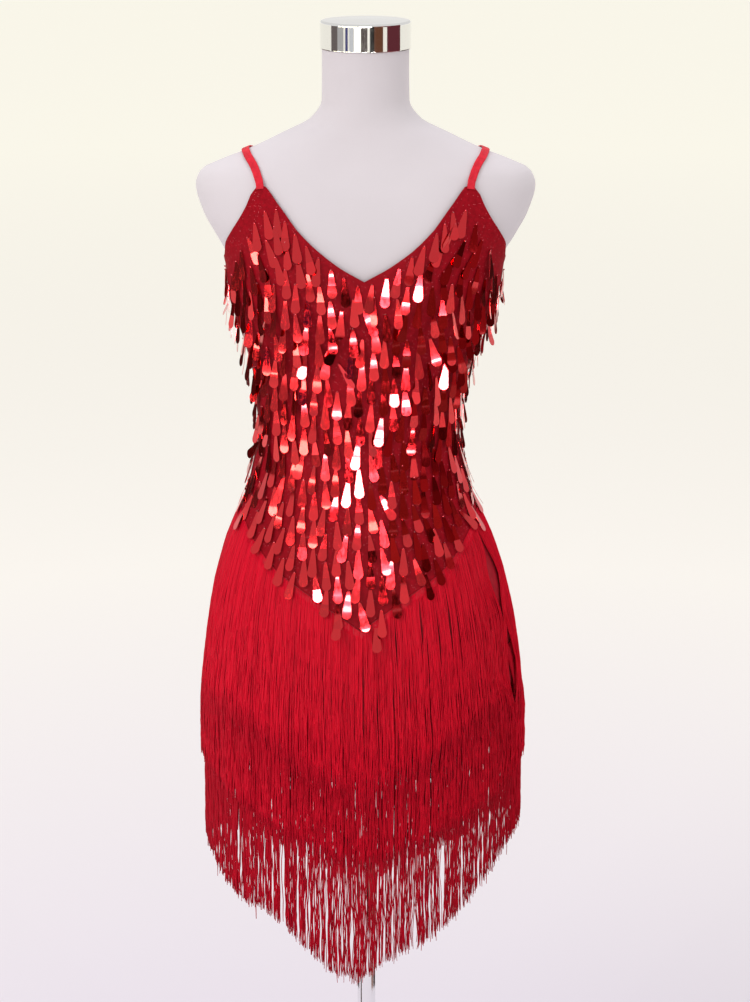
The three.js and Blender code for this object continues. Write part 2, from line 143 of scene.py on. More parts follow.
# Soft creases: side, turn and height of the middle, lean in degrees, half length,
# half width and depth (a ridge where it is negative)
CREASE_COLUMNS = ("side", "turn", "z", "lean", "long", "wide", "depth")
CREASES = [
    ("front", -72, 1.085, 14, 0.050, 0.006, 0.0009),
    ("front", -64, 1.050, -8, 0.060, 0.007, 0.0011),
    ("front", -70, 1.018, -18, 0.045, 0.006, 0.0009),
    ("front", 70, 1.070, -12, 0.055, 0.006, 0.0010),
    ("front", 66, 1.036, 9, 0.050, 0.007, 0.0011),
    ("front", 74, 1.000, 20, 0.040, 0.006, 0.0008),
    ("front", -46, 1.150, 52, 0.045, 0.009, 0.0008),
    ("front", 48, 1.150, -50, 0.045, 0.009, 0.0008),
    ("front", 0, 1.195, 90, 0.040, 0.010, -0.0007),
    ("back", -58, 1.060, 7, 0.075, 0.008, 0.0014),
    ("back", -66, 1.026, -10, 0.055, 0.007, 0.0012),
    ("back", 60, 1.048, -6, 0.080, 0.008, 0.0014),
    ("back", 68, 1.080, -15, 0.050, 0.006, 0.0011),
    ("back", 4, 1.030, 3, 0.085, 0.010, 0.0013),
    ("back", -30, 1.115, 24, 0.060, 0.009, 0.0010),
    ("back", 34, 1.120, -26, 0.060, 0.009, 0.0010),
]


def smooth_line(x, y):
    """A monotone cubic through the points."""
    order = np.argsort(x)
    x = np.asarray(x, float)[order]
    y = np.asarray(y, float)[order]
    width = np.diff(x)
    slope = np.diff(y) / width
    product = slope[:-1] * slope[1:]
    total = np.where(slope[:-1] + slope[1:] == 0, 1, slope[:-1] + slope[1:])
    tangent = np.concatenate([slope[:1], np.where(product > 0, 2 * product / total, 0), slope[-1:]])

    def value(at):
        at = np.clip(at, x[0], x[-1])
        i = np.clip(np.searchsorted(x, at, side="right") - 1, 0, len(x) - 2)
        t = (at - x[i]) / width[i]
        start = y[i] * (1 + 2 * t) * (1 - t) ** 2 + tangent[i] * width[i] * t * (1 - t) ** 2
        end = y[i + 1] * t * t * (3 - 2 * t) + tangent[i + 1] * width[i] * t * t * (t - 1)
        return start + end

    return value


def table_lines(rows, columns):
    """One smooth line for each column of a table, along its first column."""
    place = [row[0] for row in rows]
    return {name: smooth_line(place, [row[i] for row in rows]) for i, name in enumerate(columns) if i}


def rows_of(rows, columns, **wanted):
    """A table's rows with their columns named, or only those that hold the wanted values."""
    named = [dict(zip(columns, row)) for row in rows]
    return [row for row in named if all(row[key] == value for key, value in wanted.items())]


def lengths_along(points):
    """How long a line of points is up to each of them."""
    return np.concatenate([[0], np.cumsum(np.linalg.norm(np.diff(points, axis=0), axis=-1))])


def between(low, high, share):
    """Heights at shares of the way from one line to another."""
    return low[:, None] + (high - low)[:, None] * share


def sections(rows, rise):
    lines = table_lines(rows, SECTION_COLUMNS)
    lines["rise"] = rise
    return lines


figure = sections(FIGURE, BUST["rise"])
form = sections(FIGURE, BUST["rise"] - BUST_EASE)
fall = sections([row for row in FIGURE if row[0] >= FALL_FROM] + FALL, BUST["rise"])
edge_lines = table_lines(EDGES, EDGE_COLUMNS)
TOPS = {"front": FRONT_TOP, "back": BACK_TOP}
top_lines = {side: table_lines(rows, TOP_COLUMNS)["z"] for side, rows in TOPS.items()}
CENTRE = {"front": 0, "back": 180}


def edge(name, turn):
    """Height of one of the dress's edges at a turn from the centre front or the centre back."""
    return edge_lines[name](np.abs(np.sin(np.radians(turn))))


def bust_rise(x, z, rise):
    spread_z = np.where(z > BUST["z"], BUST["up"], BUST["down"])
    height = np.exp(-((z - BUST["z"]) ** 2) / (2 * spread_z**2))
    left = np.exp(-((x + BUST["across"]) ** 2) / (2 * BUST["spread"] ** 2))
    right = np.exp(-((x - BUST["across"]) ** 2) / (2 * BUST["spread"] ** 2))
    return rise * height * (left + right)


def surface_point(lines, turn, z):
    """A point of the surface: turn 0 is the centre front, 90 the side at +X, 180 the centre back."""
    turn, z = np.broadcast_arrays(np.asarray(turn, float), np.asarray(z, float))
    x = lines["half"](z) * np.sin(np.radians(turn))
    facing = np.cos(np.radians(turn))
    reach = np.abs(facing) ** (2 * lines["taper"](z))
    front = -lines["front"](z) * reach - bust_rise(x, z, lines["rise"]) * facing
    y = np.where(facing > 0, front, lines["back"](z) * reach)
    return np.stack([x + lines["sway"](z), y, z], axis=-1)


def unit(vectors):
    return vectors / np.maximum(np.linalg.norm(vectors, axis=-1, keepdims=True), 1e-12)


def surface_frame(lines, turn, z):
    """Points of the surface with their outward, around and upward directions."""
    turn_step = 0.4
    z_step = 0.0005
    point = surface_point(lines, turn, z)
    ahead = surface_point(lines, np.add(turn, turn_step), z)
    around = unit(ahead - surface_point(lines, np.subtract(turn, turn_step), z))
    above = surface_point(lines, turn, np.add(z, z_step))
    up = unit(above - surface_point(lines, turn, np.subtract(z, z_step)))
    out = unit(np.cross(around, up))
    return point, out, around, up


def new_piece(name, points, faces, material, smooth=True, sharp_angle=None):
    mesh = bpy.data.meshes.new(name)
    mesh.from_pydata(np.asarray(points).reshape(-1, 3).tolist(), [], faces)
    mesh.validate()
    mesh.polygons.foreach_set("use_smooth", np.full(len(mesh.polygons), smooth))
    if sharp_angle is not None:
        mesh.set_sharp_from_angle(angle=math.radians(sharp_angle))
    mesh.materials.append(material)
    piece = bpy.data.objects.new(name, mesh)
    bpy.context.scene.collection.objects.link(piece)
    return piece


def hand_over(piece, slot, *nodes):
    """The piece rides on the part's one body and stands for its nodes, which are hidden; its slot is not
    used.
    """
    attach(piece, BODY)
    if nodes:
        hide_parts(*nodes)
    return piece


def grid_faces(columns, rows, start=0, flip=False):
    """Quads over a grid of points stored column by column."""
    i, j = np.meshgrid(np.arange(columns - 1), np.arange(rows - 1), indexing="ij")
    low = start + (i * rows + j).ravel()
    quads = np.stack([low, low + rows, low + rows + 1, low + 1], axis=-1)
    return (quads[:, ::-1] if flip else quads).tolist()


def cloth_wall(name, inner, outer, material):
    """A thin closed wall between two grids of points."""
    columns, rows = inner.shape[:2]
    count = columns * rows
    faces = grid_faces(columns, rows, 0, flip=True) + grid_faces(columns, rows, count)
    index = np.arange(count).reshape(columns, rows)
    loop = np.concatenate([index[:, 0], index[-1, 1:], index[-2::-1, -1], index[0, -2:0:-1]])
    ahead = np.roll(loop, -1)
    faces += np.stack([loop, ahead, ahead + count, loop + count], axis=-1).tolist()
    points = np.concatenate([inner.reshape(-1, 3), outer.reshape(-1, 3)])
    return new_piece(name, points, faces, material, sharp_angle=50)


def closed_rings(name, rings, ends, material, sharp_angle):
    """A closed piece through rings of points, with a middle point for each end."""
    rings = np.asarray(rings)
    count, sides = rings.shape[:2]
    i = np.arange(sides)
    after = (i + 1) % sides
    low = (np.arange(count - 1) * sides)[:, None]
    quads = np.stack([low + i, low + after, low + sides + after, low + sides + i], axis=-1)
    pole = np.full(sides, count * sides)
    top = (count - 1) * sides
    faces = quads.reshape(-1, 4).tolist()
    faces += np.stack([pole, after, i], axis=-1).tolist()
    faces += np.stack([pole + 1, top + i, top + after], axis=-1).tolist()
    points = np.concatenate([rings.reshape(-1, 3), ends])
    return new_piece(name, points, faces, material, sharp_angle=sharp_angle)


def lathe(name, profile, material, sides):
    """A turned piece: the profile's (radius, z) points start and end on the axis."""
    angle = np.linspace(0, 2 * math.pi, sides, endpoint=False)
    rings = [[(r * math.cos(a), r * math.sin(a), z) for a in angle] for r, z in profile[1:-1]]
    ends = [(0, 0, profile[0][1]), (0, 0, profile[-1][1])]
    return closed_rings(name, rings, ends, material, 35)


def round_corner(radius, z, size, turn, steps=5):
    """Points of a quarter-round edge of a turned profile: turn "up" at the top, "down" at the bottom."""
    angles = [math.radians(90 * i / steps) for i in range(steps + 1)]
    middle = radius - size
    if turn == "up":
        return [(middle + size * math.cos(a), z - size + size * math.sin(a)) for a in angles]
    return [(middle + size * math.sin(a), z + size - size * math.cos(a)) for a in angles]


def tube_faces(count, stations, sides):
    """Faces of closed tubes whose points are stored tube by tube and ring by ring."""
    base = (np.arange(count) * stations * sides)[:, None, None]
    low = base + (np.arange(stations - 1) * sides)[None, :, None]
    k = np.arange(sides)[None, None, :]
    after = (k + 1) % sides
    quads = np.stack([low + k, low + after, low + sides + after, low + sides + k], axis=-1)
    first = base[:, :, 0] + np.arange(sides)[None, ::-1]
    last = base[:, :, 0] + (stations - 1) * sides + np.arange(sides)[None]
    return quads.reshape(-1, 4).tolist() + first.tolist() + last.tolist()


def tubes(centres, side, out, radius, sides):
    """Closed thin tubes, one for each row of centres, as points and faces."""
    angle = np.arange(sides) * 2 * math.pi / sides
    ring = side[:, :, None] * np.cos(angle)[:, None] + out[:, :, None] * np.sin(angle)[:, None]
    points = centres[:, :, None] + ring * radius[:, :, None, None]
    return points.reshape(-1, 3), tube_faces(*centres.shape[:2], sides)


# Materials

# How wide one band of a wave texture is at a scale of 1
WAVE_BAND = 0.314
KNIT_SHEEN = (0.9, 0.1, 0.15, 1)
# The strands' attribute of painted shade: lower where no underskirt backs them
PAINTED_SHADE_ATTRIBUTE = "painted_shade"


class Nodes:
    """The nodes of a material or of the surroundings, with short calls to add and join them."""

    def __init__(self, owner):
        owner.use_nodes = True
        self.owner = owner
        self.tree = owner.node_tree

    def fill(self, socket, value):
        """Joins another node's output to the socket, or gives the socket its own even value."""
        if isinstance(value, bpy.types.NodeSocket):
            self.tree.links.new(value, socket)
        else:
            socket.default_value = value

    def add(self, kind, **values):
        """A new node, with its options set and its inputs filled by name."""
        node = self.tree.nodes.new(f"ShaderNode{kind}")
        for name, value in values.items():
            if hasattr(node, name):
                setattr(node, name, value)
            else:
                self.fill(node.inputs[name.replace("_", " ")], value)
        return node

    def maths(self, operation, first, second):
        node = self.add("Math", operation=operation)
        self.fill(node.inputs[0], first)
        self.fill(node.inputs[1], second)
        return node.outputs[0]

    def ranged(self, value, low, high, start=0.0, end=1.0):
        """A value that runs from start to end, brought to run from low to high."""
        node = self.add("MapRange", Value=value, From_Min=start, From_Max=end, To_Min=low, To_Max=high)
        return node.outputs["Result"]

    def place(self, scale=(1, 1, 1)):
        """The place on the piece, with its axes scaled."""
        place = self.add("TexCoord").outputs["Object"]
        return self.add("Mapping", Vector=place, Scale=scale).outputs["Vector"]

    def noise(self, place, scale, detail=2):
        return self.add("TexNoise", Vector=place, Scale=scale, Detail=detail).outputs["Fac"]

    def bands(self, place, direction, scale, distortion):
        node = self.add("TexWave", bands_direction=direction, Vector=place, Scale=scale)
        self.fill(node.inputs["Distortion"], distortion)
        return node.outputs["Fac"]

    def own_number(self):
        """A random number for each separate shell of a mesh."""
        return self.add("NewGeometry").outputs["Random Per Island"]

    def tint(self, factor, *stops):
        """A colour that runs along a factor through stops of (place, colour)."""
        ramp = self.add("ValToRGB", Fac=factor)
        elements = ramp.color_ramp.elements
        while len(elements) < len(stops):
            elements.new(0.5)
        for element, (place, colour) in zip(elements, stops):
            element.position = place
            element.color = (*colour, 1)
        return ramp.outputs["Color"]

    def relief(self, height, distance, strength=1.0):
        return self.add("Bump", Strength=strength, Distance=distance, Height=height).outputs["Normal"]

    def knit(self, stitch, distance, strength):
        """Relief of fine knit loops: two crossed waves and a little noise. stitch is a loop's width."""
        place = self.place()
        rows = self.bands(place, "Z", WAVE_BAND / stitch, 1.2)
        wales = self.bands(place, "X", WAVE_BAND / stitch, 1.0)
        height = self.maths("ADD", self.maths("MULTIPLY", rows, wales), self.noise(place, 0.5 / stitch))
        return self.relief(height, distance, strength)

    def shader(self, **values):
        """The material, with the inputs of its one shader filled by name."""
        principled = self.tree.nodes["Principled BSDF"]
        for name, value in values.items():
            self.fill(principled.inputs[name.replace("_", " ")], value)
        return self.owner


def new_nodes(name):
    return Nodes(bpy.data.materials.new(name))


def shade(colour, times):
    return tuple(min(1.0, part * times) for part in colour)


def jersey_cover(colour):
    nodes = new_nodes("form_jersey")
    cloud = nodes.noise(nodes.place(), 9, 5)
    return nodes.shader(
        Base_Color=nodes.tint(cloud, (0.3, shade(colour, 0.965)), (0.7, shade(colour, 1.02))),
        Roughness=0.92,
        Sheen_Weight=0.25,
        Sheen_Roughness=0.5,
        Normal=nodes.knit(0.0011, 0.00012, 0.5),
    )


def polished_metal(name, colour, roughness):
    nodes = new_nodes(name)
    smear = nodes.noise(nodes.place((1, 1, 3)), 30, 6)
    return nodes.shader(
        Base_Color=(*colour, 1),
        Metallic=1.0,
        Roughness=nodes.ranged(smear, roughness * 0.7, roughness * 1.6),
    )


def base_paint(colour):
    nodes = new_nodes("base_paint")
    fleck = nodes.noise(nodes.place(), 900)
    return nodes.shader(
        Base_Color=nodes.tint(fleck, (0.35, shade(colour, 0.95)), (0.65, colour)),
        Roughness=0.35,
        Coat_Weight=0.3,
        Normal=nodes.relief(fleck, 0.00005),
    )


def glitter_knit(colour):
    """The bodice's knit, with tiny shining dots whose brighter pink is painted sparkle."""
    nodes = new_nodes("bodice_knit")
    place = nodes.place()
    cells = nodes.add("TexVoronoi", Vector=place, Scale=620)
    middle = nodes.ranged(cells.outputs["Distance"], 0.0, 1.0, 0.24, 0.16)
    own = nodes.add("SeparateColor", Color=cells.outputs["Color"])
    dot = nodes.maths("MULTIPLY", middle, nodes.maths("GREATER_THAN", own.outputs["Red"], 0.8))
    stops = [(0.32, shade(colour, 0.86)), (0.5, colour), (0.7, shade(colour, 1.18))]
    ground = nodes.tint(nodes.noise(place, 260, 4), *stops)
    # Glitter specks in the knit: their lower roughness is real shine, their brighter pink is painted
    # sparkle
    mix = nodes.add("Mix", data_type="RGBA", Factor=dot, A=ground, B=(0.75, 0.14, 0.17, 1))
    return nodes.shader(
        Base_Color=mix.outputs["Result"],
        Roughness=nodes.ranged(dot, 0.62, 0.2),
        Specular_IOR_Level=0.05,
        Sheen_Weight=0.02,
        Sheen_Tint=KNIT_SHEEN,
        Normal=nodes.knit(0.0009, 0.00018, 0.7),
    )


def plain_knit(name, colour, roughness=0.7, sheen=0.05, stitch=0.0009):
    nodes = new_nodes(name)
    cloud = nodes.noise(nodes.place(), 140, 5)
    return nodes.shader(
        Base_Color=nodes.tint(cloud, (0.3, shade(colour, 0.8)), (0.7, shade(colour, 1.15))),
        Roughness=roughness,
        Specular_IOR_Level=0.15,
        Sheen_Weight=sheen,
        Sheen_Tint=KNIT_SHEEN,
        Normal=nodes.knit(stitch, 0.00018, 0.6),
    )


def yarn(name, colour):
    """Shiny rayon yarn: each strand a shade of its own, with a fine twist, darkened by a painted shade
    attribute below the underskirt's hem.
    """
    nodes = new_nodes(name)
    stops = [(0.0, shade(colour, 0.82)), (0.5, colour), (1.0, shade(colour, 1.14))]
    own = nodes.tint(nodes.own_number(), *stops)
    painted_shade = nodes.add("Attribute", attribute_name=PAINTED_SHADE_ATTRIBUTE).outputs["Fac"]
    mix = nodes.add("Mix", data_type="RGBA", blend_type="MULTIPLY", Factor=1.0, A=own, B=painted_shade)
    return nodes.shader(
        Base_Color=mix.outputs["Result"],
        Roughness=0.42,
        Specular_IOR_Level=0.14,
        Specular_Tint=(1.0, 0.35, 0.4, 1),
        Normal=nodes.relief(nodes.bands(nodes.place(), "DIAGONAL", 420, 0.6), 0.00012, 0.5),
    )


def foil(colour):
    """Polished foil of the drop sequins, each drop a shade of its own, with faint scuffs."""
    nodes = new_nodes("sequin_foil")
    stops = [(0.0, shade(colour, 0.84)), (0.6, colour), (1.0, shade(colour, 1.12))]
    scuff = nodes.noise(nodes.place((1, 1, 0.4)), 420, 6)
    return nodes.shader(
        Base_Color=nodes.tint(nodes.own_number(), *stops),
        Metallic=1.0,
        Roughness=nodes.ranged(scuff, 0.06, 0.15, 0.35, 0.75),
        Specular_IOR_Level=0.6,
        Coat_Weight=0.6,
        Coat_Roughness=0.03,
    )


def glass_bead(colour):
    nodes = new_nodes("bead_glass")
    stops = [(0.0, shade(colour, 0.7)), (1.0, shade(colour, 1.5))]
    return nodes.shader(
        Base_Color=nodes.tint(nodes.own_number(), *stops), Metallic=0.5, Roughness=0.08, Coat_Weight=1.0
    )


def floor_shade_and_glow(near, far):
    """A matt floor that turns from its near colour to its far colour away from the part: darker near the
    part as painted shade, and glowing a little as painted light.
    """
    nodes = new_nodes("floor_shade_and_glow")
    length = nodes.add("VectorMath", operation="LENGTH")
    nodes.fill(length.inputs[0], nodes.add("TexCoord").outputs["Object"])
    away = nodes.ranged(length.outputs["Value"], 0.0, 1.0, 0.4, 9.0)
    middle = tuple((2 * b + a) / 3 for a, b in zip(near, far))
    colour = nodes.tint(away, (0.0, near), (0.28, middle), (1.0, far))
    return nodes.shader(
        Base_Color=colour,
        Roughness=0.9,
        Specular_IOR_Level=0.1,
        # Painted light: the floor glows a little in its own colour
        Emission_Color=colour,
        Emission_Strength=0.2,
    )


# Sizes and colours that a user would change


def colour_property(name, description, default):
    return FloatVectorProperty(
        name=name, description=description, default=default, size=3, subtype="COLOR", min=0, max=1
    )


def length_property(name, description, default):
    return FloatProperty(name=name, description=description, default=default, unit="LENGTH", precision=4)


def number_property(name, description, default):
    return FloatProperty(name=name, description=description, default=default)


def count_property(name, description, default, low=0):
    return IntProperty(name=name, description=description, default=default, min=low)


CAP_LOW, CAP_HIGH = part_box("form_neck_cap")
BASE_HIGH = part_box("stand_base")[1]
POLE_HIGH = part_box("stand_pole")[1]


class DressFormSettings(bpy.types.PropertyGroup):
    cover_colour: colour_property("Cover", "Colour of the stretched jersey cover", (0.60, 0.555, 0.60))
    cap_bottom: length_property("Cap bottom", "Height of the cap's lower edge", CAP_LOW[2])
    cap_top: length_property("Cap top", "Height of the cap's top", CAP_HIGH[2])
    cap_radius: length_property("Cap radius", "Radius of the neck cap", CAP_HIGH[0])
    base_radius: length_property("Base radius", "Radius of the round base", BASE_HIGH[0])
    base_top: length_property("Base top", "Thickness of the round base", BASE_HIGH[2])
    pole_radius: length_property("Pole radius", "Radius of the pole", 0.0108)
    collar_radius: length_property("Collar radius", "Radius of the collars", POLE_HIGH[0])


class DressClothSettings(bpy.types.PropertyGroup):
    bodice_colour: colour_property("Bodice", "Colour of the bodice's knit", (0.27, 0.0018, 0.0088))
    strap_colour: colour_property("Straps", "Colour of the shoulder straps", (0.62, 0.014, 0.032))
    skirt_colour: colour_property("Underskirt", "Colour of the underskirt", (0.33, 0.003, 0.014))
    columns: count_property("Columns", "Mesh columns of a cloth panel", 90, 20)
    rows: count_property("Rows", "Mesh rows of a cloth panel", 110, 20)
    hem_width: length_property("Turned edge", "Width of the turned edge", 0.006)
    hem_rise: length_property("Edge rise", "How far the turned edge stands proud", 0.0004)
    wave_depth: length_property("Skirt wave", "Depth of the underskirt's soft waves", 0.004)


class DressFringeSettings(bpy.types.PropertyGroup):
    colour: colour_property("Yarn", "Colour of the fringe yarn", (0.66, 0.0045, 0.024))
    # Painted shade: the lower tier's yarn is the same yarn made darker
    lower_painted_shade: number_property("Lower shade", "Brightness of the lower tier's yarn", 0.78)
    strands: count_property("Strands", "Strands in half of a tier", 900, 20)
    stations: count_property("Stations", "Points along a strand", 24, 4)
    radius: length_property("Yarn radius", "Radius of a strand", 0.00056)
    ragged: length_property("Ragged ends", "How far the ends differ in length", 0.0055)
    waver: length_property("Waver", "How far a strand wavers sideways", 0.0007)
    crinkle: length_property("Crinkle", "How far a strand jogs sideways from point to point", 0.0003)
    uneven: number_property("Uneven", "How much thinner the yarn hangs at the left side", 0.08)
    # Painted shade: how much darker the yarn's colour is made below the underskirt's hem
    unbacked_shade: number_property("Unbacked", "How much darker the yarn is below the underskirt", 0.18)
    slump: length_property("Slump", "How far the tiers fall in below the underskirt's hem", 0.006)
    seed: count_property("Seed", "Seed of the strands' differences", 11)


class DressSequinSettings(bpy.types.PropertyGroup):
    colour: colour_property("Foil", "Colour of the drop sequins", (0.74, 0.018, 0.027))
    length: length_property("Length", "Length of a drop", 0.032)
    width: length_property("Width", "Width of a drop at its round end", 0.0108)
    tip: length_property("Tip", "Width of a drop at its tip", 0.0028)
    thickness: length_property("Thickness", "Thickness of the foil", 0.0003)
    column_step: length_property("Column step", "Distance between two columns of drops", 0.0122)
    row_step: length_property("Row step", "Height between two rows of drops", 0.0150)
    margin: length_property("Margin", "Bare cloth at the neckline and armholes", 0.008)
    bead_radius: length_property("Bead radius", "Radius of the bead at a drop's tip", 0.001)
    seed: count_property("Seed", "Seed of the drops' differences", 5)


class DressStageSettings(bpy.types.PropertyGroup):
    # The near floor's darker colour is painted shade round the part
    shaded_near_floor: colour_property("Near floor", "Colour of the floor round the part", (0.625, 0.58, 0.665))
    far_floor: colour_property("Far floor", "Colour of the floor far behind", (0.985, 0.965, 0.875))
    world_colour: colour_property("Surroundings", "Colour of the even light", (0.76, 0.75, 0.725))
    world_light: number_property("Surroundings light", "Strength of the even light", 1.0)
    horizon: number_property("Horizon", "How much brighter the horizon is", 1.24)
    key_light: number_property("Key light", "Strength of the large soft light in watts", 56.0)
    lens: FloatProperty(name="Lens", description="Focal length", default=97.5, unit="CAMERA")
    distance: length_property("Distance", "Camera's distance from the part's axis", 3.0)
    height: length_property("Height", "Camera's height", 1.8127)
    aside: length_property("Aside", "Camera's place to the right of the axis", 0.0104)
    pitch: FloatProperty(
        name="Pitch", description="How far the camera looks down", default=math.radians(16), subtype="ANGLE"
    )


# The gap between the form and the stand's pieces that it touches
FIT_GAP = 0.0003
ROUNDED_END = 0.004
COLLAR_HEIGHT = 0.026


class DRESS_OT_form(bpy.types.Operator):
    """Build the covered torso of the dress form"""

    bl_idname = "dress.make_form"
    bl_label = "Dress form"

    def execute(self, context):
        settings = context.scene.dress_form
        heights = np.linspace(FIGURE[0][0], settings.cap_bottom - FIT_GAP, 160)
        turns = np.linspace(0, 360, 128, endpoint=False)
        rings = surface_point(form, turns[None, :], heights[:, None])
        for i in range(4):
            pull = ROUNDED_END * (1 - math.sin(math.radians(90 * i / 4)))
            rings[i] -= unit(rings[i] - rings[i].mean(axis=0)) * pull
        ends = [rings[0].mean(axis=0), rings[-1].mean(axis=0)]
        cover = closed_rings("form_cover", rings, ends, jersey_cover(settings.cover_colour), 60)
        hand_over(cover, "form_cloth", "form_torso")
        return {"FINISHED"}


class DRESS_OT_stand(bpy.types.Operator):
    """Build the neck cap, the pole and the round base"""

    bl_idname = "dress.make_stand"
    bl_label = "Cap, pole and base"

    def execute(self, context):
        settings = context.scene.dress_form
        chrome = polished_metal("chrome", (0.86, 0.86, 0.87), 0.05)
        bottom, top, radius = settings.cap_bottom, settings.cap_top, settings.cap_radius
        profile = [
            (0, bottom), (radius - 0.002, bottom),
            *round_corner(radius, bottom, 0.0006, "down", 3),
            (radius, bottom + 0.0012), (radius, top - 0.003),
            *round_corner(radius, top, 0.0022, "up"),
            (radius - 0.004, top), (radius * 0.6, top + 0.0002), (0, top + 0.0004),
        ]
        hand_over(lathe("neck_cap", profile, chrome, 128), "chrome", "form_neck_cap")

        foot = settings.base_top + FIT_GAP
        head = FIGURE[0][0] - FIT_GAP
        low_collar, high_collar = foot + COLLAR_HEIGHT, head - COLLAR_HEIGHT
        narrow, wide = settings.pole_radius, settings.collar_radius
        profile = [
            (0, foot), (wide - 0.0008, foot), (wide, foot + 0.0008),
            *round_corner(wide, low_collar, 0.002, "up"),
            (narrow, low_collar), (narrow, high_collar),
            *round_corner(wide, high_collar, 0.002, "down"),
            (wide, head), (0, head),
        ]
        hand_over(lathe("pole", profile, chrome, 64), "chrome", "stand_pole")

        top, radius = settings.base_top, settings.base_radius
        profile = [
            (0, 0), (radius - 0.001, 0), (radius, 0.001), *round_corner(radius, top, 0.003, "up"), (0, top),
        ]
        paint = base_paint((0.80, 0.80, 0.81))
        hand_over(lathe("base_plate", profile, paint, 160), "base_paint", "stand_base")
        return {"FINISHED"}


def crease_depth(side, turn, z):
    """How far the hand-placed creases sink the cloth."""
    depth = np.zeros(np.broadcast(turn, z).shape)
    for crease in rows_of(CREASES, CREASE_COLUMNS, side=side):
        across = figure["half"](z) * (np.sin(np.radians(turn)) - math.sin(math.radians(crease["turn"])))
        rise = z - crease["z"]
        lean = math.radians(crease["lean"])
        along_it = across * math.cos(lean) + rise * math.sin(lean)
        aside = rise * math.cos(lean) - across * math.sin(lean)
        bend = aside + 0.12 * along_it**2 / crease["long"]
        length = np.exp(-((along_it / crease["long"]) ** 2))
        depth += crease["depth"] * length * np.exp(-((bend / crease["wide"]) ** 2))
    return depth


def bodice_panel(side, settings, material):
    """One bodice panel: a thin wall from its V edge up to its neckline and armholes."""
    bends = [row[0] for row in TOPS[side]]
    even = np.linspace(0, BODICE_LAST, settings.columns // 2)
    half = np.unique(np.round(np.clip(np.concatenate([even, bends]), 0, BODICE_LAST), 3))
    turns = np.concatenate([-half[:0:-1], half])
    low = edge("bodice", turns)
    high = top_lines[side](np.abs(turns))
    z = between(low, high, np.linspace(0, 1, settings.rows))
    sink = crease_depth(side, turns[:, None], z)
    to_edge = np.minimum(high[:, None] - z, z - low[:, None])
    rib = settings.hem_rise * np.clip(1 - (to_edge - settings.hem_width) / 0.001, 0, 1)
    point, out, _, _ = surface_frame(figure, CENTRE[side] + turns[:, None], z)
    inner = point + out * (CLOTH_INNER - sink * 0.6)[..., None]
    outer = point + out * (CLOTH_OUTER + rib - sink)[..., None]
    return cloth_wall(f"bodice_{side}_cloth", inner, outer, material)


def skirt_panel(side, settings, material):
    """One underskirt panel with soft waves that deepen towards its V hem."""
    turns = np.linspace(-SKIRT_LAST, SKIRT_LAST, settings.columns)
    top = edge("bodice", turns) - 0.0006
    z = between(edge("skirt_hem", turns), top, np.linspace(0, 1, settings.rows // 2))
    fade = np.clip((0.86 - z) / 0.16, 0, 1) ** 1.5
    phase = 0.7 if side == "front" else 2.1
    radians = np.radians(turns)[:, None]
    waves = 0.5 + 0.5 * np.sin(radians * 9.0 + phase + 0.6 * np.sin(radians * 3.7))
    sink = settings.wave_depth * fade * waves
    point, out, _, _ = surface_frame(fall, CENTRE[side] + turns[:, None], z)
    inner = point + out * (CLOTH_INNER - sink)[..., None]
    outer = point + out * (CLOTH_GAP + 0.0013 - sink)[..., None]
    return cloth_wall(f"underskirt_{side}_cloth", inner, outer, material)


class DRESS_OT_bodice(bpy.types.Operator):
    """Build the bodice's front and back"""

    bl_idname = "dress.make_bodice"
    bl_label = "Bodice"

    def execute(self, context):
        settings = context.scene.dress_cloth
        material = glitter_knit(settings.bodice_colour)
        for side in CENTRE:
            panel = bodice_panel(side, settings, material)
            hand_over(panel, "bodice_cloth", f"bodice_{side}")
        return {"FINISHED"}


class DRESS_OT_underskirt(bpy.types.Operator):
    """Build the underskirt's front and back"""

    bl_idname = "dress.make_underskirt"
    bl_label = "Underskirt"

    def execute(self, context):
        settings = context.scene.dress_cloth
        material = plain_knit("skirt_knit", settings.skirt_colour)
        for side in CENTRE:
            panel = skirt_panel(side, settings, material)
            hand_over(panel, "skirt_cloth", f"underskirt_{side}")
        return {"FINISHED"}


def inside_figure(x, y, z):
    """Whether a point, without the waist's sway, lies inside the figure."""
    half = float(figure["half"](z))
    if abs(x) >= half:
        return False
    facing = math.sqrt(1 - (x / half) ** 2)
    reach = facing ** (2 * float(figure["taper"](z)))
    if y < 0:
        rise = float(bust_rise(x, z, figure["rise"])) * facing
        return -y < float(figure["front"](z)) * reach + rise
    return y < float(figure["back"](z)) * reach


def ray_point(across, lift):
    """The figure's surface along a ray that starts inside the shoulder."""
    heading = np.array([0, -math.cos(math.radians(lift)), math.sin(math.radians(lift))])
    start = np.array([across, 0, STRAP_CORE_Z])
    near, far = 0.0, 0.16
    for _ in range(36):
        middle = (near + far) / 2
        if inside_figure(*(start + heading * middle)):
            near = middle
        else:
            far = middle
    return start + heading * near


# The binding's section: share of the half width and of the wall
STRAP_SECTION = [
    (-1, 0.25), (-0.94, 0.05), (-0.8, 0), (0.8, 0), (0.94, 0.05), (1, 0.25), (1, 0.75), (0.93, 0.95),
    (0.78, 1), (0.12, 1), (0, 0.86), (-0.12, 1), (-0.78, 1), (-0.93, 0.95), (-1, 0.75),
]


